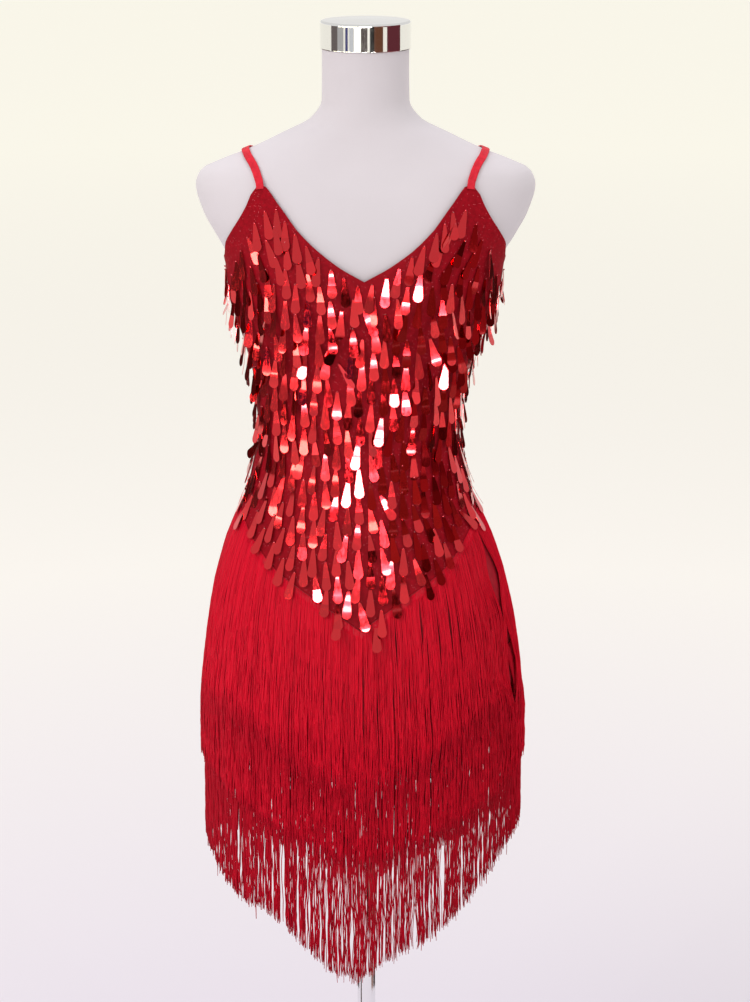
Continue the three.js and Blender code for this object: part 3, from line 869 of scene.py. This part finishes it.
def strap(name, side, material):
    """A narrow folded binding over one shoulder, with its edge-to-edge join down the middle."""
    across_at = table_lines(STRAP_ROUTE, STRAP_COLUMNS)["across"]
    start, end = STRAP_ROUTE[0][0], STRAP_ROUTE[-1][0]
    steps = 72
    degree = 0.5
    nudge = 0.0005
    over_bodice = CLOTH_GAP + 0.0018
    rings = []
    for lift in np.linspace(start - STRAP_LAP, end + STRAP_LAP, steps):
        before, across, after = (side * float(across_at(lift + k * degree)) for k in (-1, 0, 1))
        travel = unit(ray_point(after, lift + degree) - ray_point(before, lift - degree))
        over = ray_point(across, lift + degree) - ray_point(across, lift - degree)
        sideways = ray_point(across + nudge, lift) - ray_point(across - nudge, lift)
        out = unit(np.cross(sideways, over))
        wide = unit(np.cross(travel, out))
        past_end = max(start + 1 - lift, lift - end + 1)
        share = min(max((past_end + 3) / 3, 0), 1)
        gap = STRAP_GAP + (over_bodice - STRAP_GAP) * share * share * (3 - 2 * share)
        here = ray_point(across, lift)
        rings.append([here + wide * (w * STRAP_WIDTH / 2) + out * (gap + h * STRAP_WALL)
                      for w, h in STRAP_SECTION])
    count = len(STRAP_SECTION)
    faces = [tuple(range(count)), tuple(range((steps - 1) * count, steps * count))[::-1]]
    for low in range(0, (steps - 1) * count, count):
        for i in range(count):
            after = (i + 1) % count
            faces.append((low + i, low + count + i, low + count + after, low + after))
    return new_piece(name, rings, faces, material, sharp_angle=60)


class DRESS_OT_straps(bpy.types.Operator):
    """Build the two shoulder straps"""

    bl_idname = "dress.make_straps"
    bl_label = "Straps"

    def execute(self, context):
        settings = context.scene.dress_cloth
        material = plain_knit("strap_knit", settings.strap_colour, 0.5, 0.06, 0.0006)
        for name, side in (("strap_right", -1), ("strap_left", 1)):
            hand_over(strap(f"{name}_binding", side, material), "strap_cloth", name)
        return {"FINISHED"}


def even_turns(z, count, margin):
    """Turns at equal lengths of cloth around half of the skirt."""
    samples = np.linspace(-90, 90, 721)
    lengths = lengths_along(surface_point(fall, samples, z))
    return np.interp(np.linspace(margin, lengths[-1] - margin, count), lengths, samples)


TIERS = {
    "upper": {"head": "bodice", "hem": "upper_hem", "swing": STRIP_WALL + LAYER_GAP, "draw": 0.5},
    "lower": {"head": "lower_head", "hem": "lower_hem", "swing": 0.0, "draw": 1.0},
}
YARN_SIDES = 3
# How far a tier hangs off the surface at its head, and how far below that it is clear
HEAD_STAND_OFF = 0.0037
FREE_BELOW = 0.04
# How far below its head a strand swings freely
FREE_LENGTH = 0.27
# The mean radius of the fringe, which turns angles into lengths
MEAN_RADIUS = 0.155
# The lengths of a strand's short, long and outward waves
SHORT_WAVE = 0.031
LONG_WAVE = 0.083
OUTWARD_WAVE = 0.055
# The share of stray strands, and how much longer they hang
STRAY_SHARE = 0.03
STRAY_LENGTH = (0.003, 0.012)
# How far the strands of a tier lie one behind the other, and how their thickness differs
YARN_DEPTH = (0.0010, 0.0026)
YARN_THICKNESS = (0.82, 1.15)
# The share of strands that start a new clump, how far clumps drift, and how they draw together
CLUMP_SHARE = 0.24
CLUMP_DRIFT = 0.0009
CLUMP_DRAW = 0.35
TIGHT_SHARE = 0.15
# How far below the underskirt's hem the tiers have fallen in, the yarn's painted shade is darkest,
# and the painted shade eases again where its ends stand apart
SLUMP_OVER = 0.036
DARK_OVER = 0.010
LIGHTER_FROM = 0.03
LIGHTER_OVER = 0.06


def stand_off(tier, head, z):
    """How far a tier hangs off the surface: close at its head, then clear of what is under it."""
    clear = CLOTH_GAP + CLOTH_WALL + LAYER_GAP - HEAD_STAND_OFF
    free = np.clip((head - z) / FREE_BELOW, 0, 1)
    out = np.clip((SWING_FROM - z) / (SWING_FROM - SWING_TO), 0, 1)
    return HEAD_STAND_OFF + clear * free + TIERS[tier]["swing"] * out


# How much shorter the lowest hem is than its even V, by share of the half width across
TRIM_COLUMNS = ("across", "rise")
HEM_TRIM = [
    (-1.00, 0.009), (-0.90, -0.004), (-0.78, -0.008), (-0.65, 0.004), (-0.50, 0.004), (-0.40, 0.0),
    (-0.20, -0.012), (-0.08, -0.010), (0.05, 0.0), (0.15, 0.006), (0.30, 0.004),
    (0.50, 0.0), (0.65, 0.006), (0.78, 0.016), (0.90, 0.026), (1.00, 0.030),
]
hem_trim = table_lines(HEM_TRIM, TRIM_COLUMNS)["rise"]

# Where a tier parts: tier, side, turn, height, half height and half gap
PARTING_COLUMNS = ("tier", "side", "turn", "z", "tall", "gap")
PARTINGS = [
    ("upper", "front", 69, 0.876, 0.026, 0.0115),
    ("upper", "front", 71.5, 0.766, 0.034, 0.0130),
    ("upper", "front", -58.3, 0.742, 0.035, 0.0010),
    ("upper", "front", -36.2, 0.699, 0.030, 0.0010),
    ("upper", "front", 0.7, 0.741, 0.070, 0.0009),
    ("upper", "front", 6.2, 0.767, 0.040, 0.0009),
    ("upper", "front", 13.2, 0.820, 0.030, 0.0010),
    ("upper", "front", 23.7, 0.838, 0.025, 0.0011),
    ("upper", "front", 30.6, 0.825, 0.040, 0.0012),
    ("upper", "front", 36.3, 0.840, 0.028, 0.0012),
    ("upper", "front", 39.9, 0.822, 0.034, 0.0011),
    ("upper", "front", 28.8, 0.682, 0.022, 0.0012),
    ("upper", "back", -58, 0.830, 0.050, 0.0060),
    ("upper", "back", 41, 0.790, 0.060, 0.0050),
    ("lower", "front", 71.5, 0.742, 0.028, 0.0100),
    ("lower", "front", 30.6, 0.545, 0.055, 0.0026),
    ("lower", "front", 19.0, 0.470, 0.034, 0.0030),
    ("lower", "front", -7.6, 0.470, 0.040, 0.0018),
    ("lower", "front", -4.3, 0.465, 0.040, 0.0018),
    ("lower", "front", -51.7, 0.590, 0.050, 0.0016),
    ("upper", "front", 70, 0.655, 0.035, 0.0015),
    ("lower", "front", 70, 0.620, 0.045, 0.0017),
    ("lower", "back", 23, 0.520, 0.060, 0.0030),
    ("lower", "back", -36, 0.560, 0.050, 0.0026),
]


def clumped(count, rng):
    """Which clump each strand belongs to, and how far it is drawn to it."""
    clump = np.cumsum(rng.random(count) < CLUMP_SHARE)
    draw = rng.uniform(0.0, CLUMP_DRAW, clump[-1] + 1)
    draw = np.where(rng.random(clump[-1] + 1) < TIGHT_SHARE, draw + CLUMP_DRAW, draw)
    return clump, draw[clump]


def fringe_strands(tier, side, settings, material):
    """The strands of half a tier, each a thin wavering tube from the tape to its ragged end."""
    plan = TIERS[tier]
    rng = np.random.default_rng(settings.seed + 10 * list(TIERS).index(tier) + list(CENTRE).index(side))
    count = settings.strands
    turns = even_turns(0.76, count, 0.0012)
    start = edge(plan["head"], turns) - 0.0012
    end = edge(plan["hem"], turns) + rng.normal(0, settings.ragged * 0.55, count)
    across = np.sin(np.radians(CENTRE[side] + turns))
    seen = 1.0 if side == "front" else np.clip((np.abs(across) - 0.6) / 0.3, 0, 1)
    if tier == "lower":
        end = end + hem_trim(across) * seen
    stray = rng.random(count) < STRAY_SHARE
    end = np.where(stray, end - rng.uniform(*STRAY_LENGTH, count), end)
    z = between(start, end, np.linspace(0, 1, settings.stations))
    point, out, around, _ = surface_frame(fall, CENTRE[side] + turns[:, None], z)
    free = np.clip((start[:, None] - z) / FREE_LENGTH, 0, 1)
    follow = 0.35 + 0.65 * free

    def wave(length):
        return np.sin(z * 2 * math.pi / length + rng.uniform(0, 6.28, count)[:, None])

    clump, draw = clumped(count, rng)
    sizes = np.maximum(np.bincount(clump), 1)
    reach = np.radians((np.bincount(clump, turns) / sizes)[clump] - turns) * MEAN_RADIUS
    aside = reach[:, None] * draw[:, None] * free**1.3 * plan["draw"]
    aside = aside + rng.normal(0, CLUMP_DRIFT, clump[-1] + 1)[clump][:, None] * free
    short = wave(SHORT_WAVE)
    long = wave(LONG_WAVE)
    aside = aside + settings.waver * free**0.5 * (0.45 * short + 0.9 * long)
    pitch = 0.5 / count
    aside = aside + rng.normal(0, 0.8 * pitch, count)[:, None] * follow
    aside = aside + rng.normal(0, settings.crinkle, z.shape) * free
    for part in rows_of(PARTINGS, PARTING_COLUMNS, tier=tier, side=side):
        away = np.radians(turns - part["turn"]) * MEAN_RADIUS
        near = np.exp(-((away / (0.006 + 2.2 * part["gap"])) ** 2))[:, None]
        tall = np.exp(-(((z - part["z"]) / part["tall"]) ** 2))
        aside = aside + np.sign(away)[:, None] * part["gap"] * near * tall

    depth = stand_off(tier, start[:, None], z) + rng.uniform(*YARN_DEPTH, count)[:, None] * follow
    depth = depth + 0.0008 * wave(OUTWARD_WAVE) * free
    past = edge("skirt_hem", turns)[:, None] - z
    below = np.clip(past / SLUMP_OVER, 0, 1)
    depth = depth - settings.slump * np.cos(np.radians(turns))[:, None] * below**2 * (3 - 2 * below)
    centres = point + around * aside[..., None] + out * depth[..., None]
    thick = rng.uniform(*YARN_THICKNESS, count) * (1 - settings.uneven * across)
    radius = settings.radius * thick[:, None] * np.ones_like(z)
    radius[:, -1] *= 0.7
    points, faces = tubes(centres, around, out, radius, YARN_SIDES)
    piece = new_piece(f"fringe_{tier}_{side}_yarn", points, faces, material)
    # Painted shade below the underskirt's hem, weaker towards +X and eased further down the strands
    deep = settings.unbacked_shade * (1 - 0.3 * across)[:, None] * np.clip(past / DARK_OVER, 0, 1)
    deep = deep * (1 - 0.6 * np.clip((past - LIGHTER_FROM) / LIGHTER_OVER, 0, 1))
    painted_shade = piece.data.attributes.new(PAINTED_SHADE_ATTRIBUTE, "FLOAT", "POINT")
    painted_shade.data.foreach_set("value", np.repeat(1 - deep.ravel(), YARN_SIDES))
    return piece


def head_tape(tier, side, material):
    """The woven tape that the strands hang from, with a looped upper edge."""
    turns = np.linspace(-TAPE_LAST, TAPE_LAST, 260)
    share = np.linspace(0, 1, 5)
    head = edge(TIERS[tier]["head"], turns)
    scallop = 0.0005 * np.abs(np.sin(np.arange(len(turns)) * 1.25))
    z = between(head - STRIP_HEIGHT, head - scallop, share)
    point, out, _, _ = surface_frame(fall, CENTRE[side] + turns[:, None], z)
    gap = stand_off(tier, head[:, None], z)
    belly = 0.0003 * np.sin(math.pi * share)[None, :]
    inner = point + out * gap[..., None]
    outer = point + out * (gap + 0.0007 + belly)[..., None]
    return cloth_wall(f"fringe_{tier}_{side}_tape", inner, outer, material)


class DRESS_OT_fringe(bpy.types.Operator):
    """Build both tiers of fringe with their head tapes"""

    bl_idname = "dress.make_fringe"
    bl_label = "Fringe"

    def execute(self, context):
        settings = context.scene.dress_fringe
        strands = {
            "upper": yarn("upper_yarn", settings.colour),
            # The lower tier gets a darker copy of the yarn as painted shade
            "lower": yarn("lower_shaded_yarn", shade(settings.colour, settings.lower_painted_shade)),
        }
        tape = plain_knit("tape_weave", shade(settings.colour, 0.8), 0.55, 0.04, 0.0007)
        for tier in TIERS:
            for side in CENTRE:
                hand_over(head_tape(tier, side, tape), "fringe_yarn", f"fringe_{tier}_{side}")
                hand_over(fringe_strands(tier, side, settings, strands[tier]), "fringe_yarn")
        return {"FINISHED"}


def drop_stations(settings):
    """Stations down a drop sequin and its half width at each: a flaring neck and a round end."""
    radius = settings.width / 2
    neck = settings.length - radius
    tip = settings.tip / 2
    rows = [(0, tip * 0.7)]
    for share in (0.03, 0.25, 0.48, 0.66, 0.84, 1.0):
        rows.append((neck * share, tip + (radius - tip) * share**0.9))
    for degrees in (22, 42, 60, 75, 86):
        angle = math.radians(degrees)
        rows.append((neck + radius * math.sin(angle), radius * math.cos(angle)))
    return np.array(rows)


# Drops sewn at the lowest point of the V, listed one by one: side, turn and height
EXTRA_DROPS = [
    ("front", 6.0, 0.8400),
    ("front", -8.2, 0.8530),
    ("front", 8.4, 0.8560),
    ("back", 2.0, 0.8455),
    ("back", -7.0, 0.8525),
]
# Above this height the points of the bodice are bare
BARE_ABOVE = 1.306


def edge_row(side, settings):
    """A row of drops just below the neckline."""
    turns = np.linspace(-34, 34, 361)
    z = top_lines[side](np.abs(turns)) - settings.margin
    lengths = lengths_along(surface_point(figure, CENTRE[side] + turns, z))
    count = int(lengths[-1] / (1.35 * settings.column_step))
    chosen = np.interp(np.linspace(0, lengths[-1], count), lengths, turns)
    row = np.stack([chosen, top_lines[side](np.abs(chosen)) - settings.margin], axis=-1)
    return row[row[:, 1] < BARE_ABOVE]


def drop_places(side, settings):
    """Staggered places of the drops on one side of the bodice, clear of its edges."""
    limit = top_lines[side]
    turns = np.linspace(-90, 90, 361)
    extra = np.array([row[1:] for row in EXTRA_DROPS if row[0] == side])
    places = np.concatenate([edge_row(side, settings), extra])
    # The upper edge, the V edge and the drops already placed, each with the least distance to it
    keep_off = [
        (surface_point(figure, CENTRE[side] + turns, limit(np.abs(turns))), settings.margin * 1.4),
        (surface_point(figure, CENTRE[side] + turns, edge("bodice", turns)), 0.007),
        (surface_point(figure, CENTRE[side] + places[:, 0], places[:, 1]), settings.width * 0.95),
    ]
    places = [tuple(place) for place in places]
    lowest = EDGES[0][1] + 0.017
    rows = int((BARE_ABOVE - lowest) / settings.row_step) + 1
    for k in range(rows):
        z = lowest + k * settings.row_step
        lengths = lengths_along(surface_point(figure, CENTRE[side] + turns, z))
        lengths -= np.interp(0, turns, lengths)
        stagger = settings.column_step * ((k + 1) % 2)
        across = int(lengths[-1] / settings.column_step) + 2
        for j in range(-across, across + 1):
            length = stagger + 2 * j * settings.column_step
            if not lengths[0] + 0.004 < length < lengths[-1] - 0.003:
                continue
            turn = float(np.interp(length, lengths, turns))
            if not edge("bodice", turn) < z < limit(abs(turn)):
                continue
            here = surface_point(figure, CENTRE[side] + turn, z)
            if all(np.linalg.norm(line - here, axis=-1).min() >= least for line, least in keep_off):
                places.append((turn, z))
    return np.array(places)


def turned(vectors, axis, angle):
    """Each vector turned about its own axis by its own angle in radians."""
    cosine = np.cos(angle)[:, None]
    sine = np.sin(angle)[:, None]
    along_it = (vectors * axis).sum(axis=-1, keepdims=True)
    return vectors * cosine + np.cross(axis, vectors) * sine + axis * along_it * (1 - cosine)


# Drops that root this near the V edge lie on the fringe's head, so they lift by this much
OVERHANG = 0.030
OVER_FRINGE = 0.0026
# How many degrees the drops stand off the cloth at least, by height
LIFT_COLUMNS = ("z", "degrees")
LIFTS = [
    (0.840, 6.7), (0.895, 6.2), (0.940, 3.7), (0.990, 3.2), (1.020, 4.2),
    (1.060, 5.4), (1.090, 4.2), (1.120, 2.2), (1.160, 0.6), (1.310, 0.6),
]
stands_off = table_lines(LIFTS, LIFT_COLUMNS)["degrees"]


# How the drops differ. Lengths in metres, the rest in degrees; a wild drop hangs further askew
TURN_SPREAD = 0.25
HEIGHT_SPREAD = 0.0012
SWING_SPREAD = 5.0
YAW_SPREAD = 7.0
LIFT_SPREAD = 2.6
WILD_SHARE = 0.1
WILD_SWING = 19
WILD_YAW = 14
KINK_SPREAD = 3.5
CURL_SPREAD = 5.0


def drop_frames(side, places, rng):
    """Where each drop hangs and which way it faces."""
    count = len(places)
    turn = places[:, 0] + rng.normal(0, TURN_SPREAD, count)
    z = places[:, 1] + rng.normal(0, HEIGHT_SPREAD, count)
    point, out, around, up = surface_frame(figure, CENTRE[side] + turn, z)
    root = point + out * (CLOTH_OUTER + 0.0009)
    level = unit(out * np.array([1, 1, 0]))
    recedes = (-up * level).sum(axis=-1)
    cling = 0.6 * np.clip((turn - 52) / 20, 0, 1) if side == "front" else 0.0
    hanging = (np.clip(-recedes / 0.12, 0, 1) * (1 - cling))[:, None]
    down = unit(-up * (1 - hanging) + np.array([0, 0, -1.0]) * hanging)
    face = unit(out - down * (out * down).sum(axis=-1, keepdims=True))
    wild = rng.random(count) < WILD_SHARE
    swing = rng.normal(0, SWING_SPREAD, count) + np.where(wild, rng.normal(0, WILD_SWING, count), 0)
    slack = hanging[:, 0]
    yaw = rng.normal(0, YAW_SPREAD + 8 * slack, count) + np.where(wild, rng.normal(0, WILD_YAW, count), 0)
    lift = np.radians(stands_off(z) + np.abs(rng.normal(0, LIFT_SPREAD, count)) + 2.0 * slack)
    to_edge = z - edge("bodice", turn)
    over = np.arctan(OVER_FRINGE / np.maximum(to_edge, 0.004))
    lift = np.where(to_edge < OVERHANG, np.maximum(lift, over), lift)
    down = turned(down, face, np.radians(swing))
    wide = unit(np.cross(face, down))
    face = turned(face, down, np.radians(yaw))
    wide = turned(wide, down, np.radians(yaw))
    lifted = turned(down, wide, -lift)
    outward = (lifted * out).sum(axis=-1) > (down * out).sum(axis=-1)
    lifted = np.where(outward[:, None], lifted, turned(down, wide, lift))
    face = unit(np.cross(lifted, wide))
    face = np.where((face * out).sum(axis=-1, keepdims=True) < 0, -face, face)
    return root, lifted, wide, face


def drop_sequins(side, settings, material):
    """All the drops of one side as one mesh: thin foils with a soft kink above the round end."""
    rng = np.random.default_rng(settings.seed + list(CENTRE).index(side))
    root, down, wide, face = drop_frames(side, drop_places(side, settings), rng)
    count = len(root)
    length, half_width = drop_stations(settings).T
    stations = len(length)
    size = rng.normal(1, 0.02, count)
    kink = np.radians(rng.normal(0, KINK_SPREAD, count))
    curl = np.radians(rng.normal(0, CURL_SPREAD, count))
    tilt = np.where(np.arange(stations)[None, :] > 4, kink[:, None], 0)
    tilt = tilt + curl[:, None] * (length / settings.length - 0.5)[None, :]
    steps = np.diff(length, prepend=0)[None, :] * size[:, None]
    along_it = np.cumsum(steps * np.cos(tilt), axis=1)
    rise = np.cumsum(steps * np.sin(tilt), axis=1)
    spine = root[:, None] + down[:, None] * along_it[..., None] + face[:, None] * rise[..., None]
    half = (half_width[None, :] * size[:, None])[..., None]
    left = spine - wide[:, None] * half
    right = spine + wide[:, None] * half
    skin = face[:, None] * (settings.thickness / 2)
    points = np.stack([left + skin, right + skin, right - skin, left - skin], axis=2).reshape(-1, 3)
    piece = new_piece(f"sequins_{side}", points, tube_faces(count, stations, 4), material)
    outward_faces(piece)
    piece.data.set_sharp_from_angle(angle=math.radians(3))
    return piece, root, face


def outward_faces(piece):
    """Makes every shell of the mesh face outwards."""
    shells = bmesh.new()
    shells.from_mesh(piece.data)
    bmesh.ops.recalc_face_normals(shells, faces=shells.faces)
    shells.to_mesh(piece.data)
    shells.free()


def ball(rings=5, sides=8):
    """Points and faces of a small round bead of radius 1."""
    points = [(0, 0, 1)]
    for r in range(1, rings):
        height = math.cos(math.pi * r / rings)
        reach = math.sin(math.pi * r / rings)
        for s in range(sides):
            angle = 2 * math.pi * s / sides
            points.append((reach * math.cos(angle), reach * math.sin(angle), height))
    points.append((0, 0, -1))
    faces = [(0, 1 + s, 1 + (s + 1) % sides) for s in range(sides)]
    for r in range(rings - 2):
        low = 1 + r * sides
        for s in range(sides):
            after = (s + 1) % sides
            faces.append((low + s, low + sides + s, low + sides + after, low + after))
    low = 1 + (rings - 2) * sides
    faces += [(len(points) - 1, low + (s + 1) % sides, low + s) for s in range(sides)]
    return np.array(points), faces


def beads(side, root, face, settings, material):
    """One bead at the tip of each drop."""
    shape, shape_faces = ball()
    centres = root + face * 0.0008
    points = centres[:, None] + shape[None] * settings.bead_radius
    faces = [tuple(i + n * len(shape) for i in loop) for n in range(len(root)) for loop in shape_faces]
    return new_piece(f"beads_{side}", points.reshape(-1, 3), faces, material)


class DRESS_OT_sequins(bpy.types.Operator):
    """Sew the drop sequins and their beads on the bodice"""

    bl_idname = "dress.make_sequins"
    bl_label = "Sequins"

    def execute(self, context):
        settings = context.scene.dress_sequins
        drop_foil = foil(settings.colour)
        glass = glass_bead((0.55, 0.03, 0.05))
        for side in CENTRE:
            drops, root, face = drop_sequins(side, settings, drop_foil)
            hand_over(drops, "sequin_foil")
            hand_over(beads(side, root, face, settings, glass), "bead")
        return {"FINISHED"}


# Cards that only reflections see, as the room behind the camera: from and to azimuth,
# low and high edge, brightness and colour
CARD_COLUMNS = ("start", "end", "low", "high", "light", "colour")
CARDS = [
    (-96, -75, 0.0, 1.4, 0.16, (0.9, 0.75, 0.7)),
    (-75, -57, 0.0, 1.5, 0.42, (1.0, 0.98, 0.95)),
    (-52, -45, 0.0, 1.3, 0.12, (0.6, 0.6, 1.6)),
    (-41, -30, 0.0, 1.6, 0.62, (0.95, 0.97, 1.0)),
    (-27, -13, 0.88, 1.18, 2.2, (1.0, 0.97, 0.90)),
    (-27, -14, 0.0, 0.84, 0.42, (1.0, 0.9, 0.85)),
    (-27, -14, 1.24, 1.9, 0.42, (1.0, 0.9, 0.85)),
    (-11, 5, 0.88, 1.18, 0.045, (1.0, 0.6, 0.5)),
    (11, 22, 0.0, 2.2, 0.015, (1.0, 0.9, 0.8)),
    (22, 45, 0.88, 1.18, 0.14, (1.0, 0.38, 0.2)),
    (22, 31, 1.2, 2.6, 0.24, (1.0, 0.4, 0.3)),
    (31, 40, 1.2, 1.9, 0.07, (1.0, 0.4, 0.3)),
    (31, 40, 1.9, 2.6, 0.24, (1.0, 0.4, 0.3)),
    (40, 47, 1.2, 2.6, 0.36, (1.0, 0.4, 0.3)),
    (22, 45, 0.0, 0.86, 0.20, (1.0, 0.4, 0.3)),
    (45, 56, 0.0, 0.82, 0.24, (1.0, 0.35, 0.3)),
    (47, 56, 1.2, 1.9, 0.05, (1.0, 0.3, 0.3)),
    (47, 56, 1.9, 2.6, 0.20, (1.0, 0.3, 0.3)),
    (56, 98, 0.0, 0.8, 0.28, (1.0, 0.25, 0.28)),
    (56, 98, 0.8, 1.5, 0.12, (1.0, 0.22, 0.28)),
    (56, 66, 1.5, 2.7, 0.30, (1.0, 0.3, 0.3)),
    (66, 78, 1.5, 2.7, 0.06, (1.0, 0.3, 0.3)),
    (78, 98, 1.5, 2.7, 0.22, (1.0, 0.3, 0.3)),
    (104, 152, 0.0, 0.84, 0.05, (1.0, 0.3, 0.3)),
    (-152, -104, 0.0, 0.84, 0.07, (1.0, 0.3, 0.3)),
]
CARD_DISTANCE = 4.2
# Bright lamps a little nearer, in the same columns, that make the drops glint
LAMPS = [
    (-8, 8, 1.90, 2.02, 50.0, (1.0, 0.95, 0.86)),
    (-15, 15, 1.28, 1.58, 45.0, (1.0, 0.95, 0.86)),
    (-72, -18, 1.28, 1.42, 15.0, (1.0, 0.93, 0.66)),
    (-90, -24, 0.52, 0.64, 14.0, (1.0, 0.93, 0.66)),
    (-6, 5, 0.66, 0.73, 45.0, (1.0, 0.95, 0.86)),
    (14, 26, 0.68, 0.75, 40.0, (1.0, 0.95, 0.86)),
]
LAMP_DISTANCE = 4.0
# Dark rugs on the floor that only reflections see: azimuths, near and far edge, brightness
RUG_COLUMNS = ("start", "end", "near", "far", "light")
RUGS = [
    (5, 28, 0.9, 4.1, 0.02),
    (28, 62, 0.9, 4.1, 0.24),
    (66, 100, 0.7, 3.6, 0.30),
    (-78, -62, 0.6, 2.4, 0.06),
    (104, 150, 0.7, 4.1, 0.05),
    (-150, -104, 0.7, 4.1, 0.06),
]
RUG_HEIGHT = 0.002
RUG_COLOUR = (1.0, 0.6, 0.5)
FLOOR_REACH = 45.0
FLOOR_Z = -0.0004
# Soft lights: where each is, what it aims at, its size and its share of the key light's power
CHEST = (0, 0, 1.05)
LIGHT_COLUMNS = ("name", "place", "target", "size", "share", "colour")
LIGHTS = [
    ("key", (-2.4, -2.6, 3.0), CHEST, (1.8, 1.8), 1.0, (1.0, 0.98, 0.95)),
    ("side", (2.7, -2.2, 1.3), (0, 0, 0.9), (1.4, 1.8), 0.12, (1.0, 1.0, 1.0)),
    ("top", (0.2, 0.3, 3.6), CHEST, (2.2, 2.2), 0.5, (1.0, 1.0, 1.0)),
]


def reflected_only(name, sector, edges, colour):
    """A glowing sheet that only glossy reflections see, between two edges given as (radius, height)."""
    nodes = new_nodes(name)
    nodes.tree.nodes.clear()
    glow = nodes.add("Emission", Color=(*colour, 1), Strength=sector["light"])
    nodes.add("OutputMaterial", Surface=glow.outputs["Emission"])
    angles = np.radians(np.linspace(sector["start"], sector["end"], 6))
    points = [(reach * math.sin(a), -reach * math.cos(a), z) for a in angles for reach, z in edges]
    piece = new_piece(name, points, grid_faces(len(angles), 2), nodes.owner, smooth=False)
    piece.visible_camera = False
    piece.visible_diffuse = False
    piece.visible_shadow = False
    piece.visible_transmission = False


def room_cards():
    """The cards around the part and the rugs on the floor."""
    for index, card in enumerate(rows_of(CARDS + LAMPS, CARD_COLUMNS)):
        away = CARD_DISTANCE if index < len(CARDS) else LAMP_DISTANCE
        edges = [(away, card["low"]), (away, card["high"])]
        reflected_only(f"card_{index}", card, edges, card["colour"])
    for index, rug in enumerate(rows_of(RUGS, RUG_COLUMNS)):
        edges = [(rug["near"], RUG_HEIGHT), (rug["far"], RUG_HEIGHT)]
        reflected_only(f"rug_{index}", rug, edges, RUG_COLOUR)


def area_light(light, power):
    """A soft rectangular light that no glossy reflection sees."""
    data = bpy.data.lights.new(light["name"], "AREA")
    data.shape = "RECTANGLE"
    data.size, data.size_y = light["size"]
    data.energy = power * light["share"]
    data.color = light["colour"]
    lamp = bpy.data.objects.new(light["name"], data)
    lamp.location = light["place"]
    aim = Vector(light["target"]) - Vector(light["place"])
    lamp.rotation_euler = aim.to_track_quat("-Z", "Y").to_euler()
    lamp.visible_glossy = False
    bpy.context.scene.collection.objects.link(lamp)


class DRESS_OT_stage(bpy.types.Operator):
    """Set up the floor, the lights and the camera"""

    bl_idname = "dress.make_stage"
    bl_label = "Stage"

    def execute(self, context):
        scene = context.scene
        settings = scene.dress_stage
        signs = ((-1, -1), (1, -1), (1, 1), (-1, 1))
        corners = [(x * FLOOR_REACH, y * FLOOR_REACH, FLOOR_Z) for x, y in signs]
        paint = floor_shade_and_glow(settings.shaded_near_floor, settings.far_floor)
        new_piece("floor", corners, [(0, 1, 2, 3)], paint, smooth=False)
        room_cards()
        nodes = Nodes(bpy.data.worlds.new("surroundings"))
        background = nodes.tree.nodes["Background"]
        split = nodes.add("SeparateXYZ", Vector=nodes.add("TexCoord").outputs["Generated"])
        glow = shade(settings.world_colour, settings.horizon)
        sky = nodes.tint(split.outputs["Z"], (0.0, glow), (0.02, glow), (0.16, settings.world_colour))
        nodes.fill(background.inputs["Color"], sky)
        nodes.fill(background.inputs["Strength"], settings.world_light)
        scene.world = nodes.owner
        for light in rows_of(LIGHTS, LIGHT_COLUMNS):
            area_light(light, settings.key_light)
        data = bpy.data.cameras.new("camera")
        data.lens = settings.lens
        camera = bpy.data.objects.new("camera", data)
        camera.location = (settings.aside, -settings.distance, settings.height)
        camera.rotation_euler = (math.pi / 2 - settings.pitch, 0, 0)
        scene.collection.objects.link(camera)
        scene.camera = camera
        scene.view_settings.view_transform = "Standard"
        return {"FINISHED"}


class DRESS_PT_panel(bpy.types.Panel):
    """Lists the pieces of the dress and their settings"""

    bl_idname = "DRESS_PT_panel"
    bl_label = "Flapper dress"
    bl_space_type = "VIEW_3D"
    bl_region_type = "UI"
    bl_category = "Dress"

    def draw(self, context):
        for operator in OPERATORS:
            self.layout.operator(operator.bl_idname)
        for name, group in SETTINGS.items():
            box = self.layout.box()
            for key in group.__annotations__:
                box.prop(getattr(context.scene, name), key)


SETTINGS = {
    "dress_form": DressFormSettings,
    "dress_cloth": DressClothSettings,
    "dress_fringe": DressFringeSettings,
    "dress_sequins": DressSequinSettings,
    "dress_stage": DressStageSettings,
}
OPERATORS = [
    DRESS_OT_stage,
    DRESS_OT_form,
    DRESS_OT_stand,
    DRESS_OT_bodice,
    DRESS_OT_straps,
    DRESS_OT_underskirt,
    DRESS_OT_fringe,
    DRESS_OT_sequins,
]


def register():
    for item in [*SETTINGS.values(), *OPERATORS, DRESS_PT_panel]:
        bpy.utils.register_class(item)
    for name, group in SETTINGS.items():
        setattr(bpy.types.Scene, name, PointerProperty(type=group))


def unregister():
    for name in SETTINGS:
        delattr(bpy.types.Scene, name)
    for item in [DRESS_PT_panel, *OPERATORS[::-1], *list(SETTINGS.values())[::-1]]:
        bpy.utils.unregister_class(item)


def main():
    register()
    for operator in OPERATORS:
        group, name = operator.bl_idname.split(".")
        getattr(getattr(bpy.ops, group), name)()


if __name__ == "__main__":
    main()
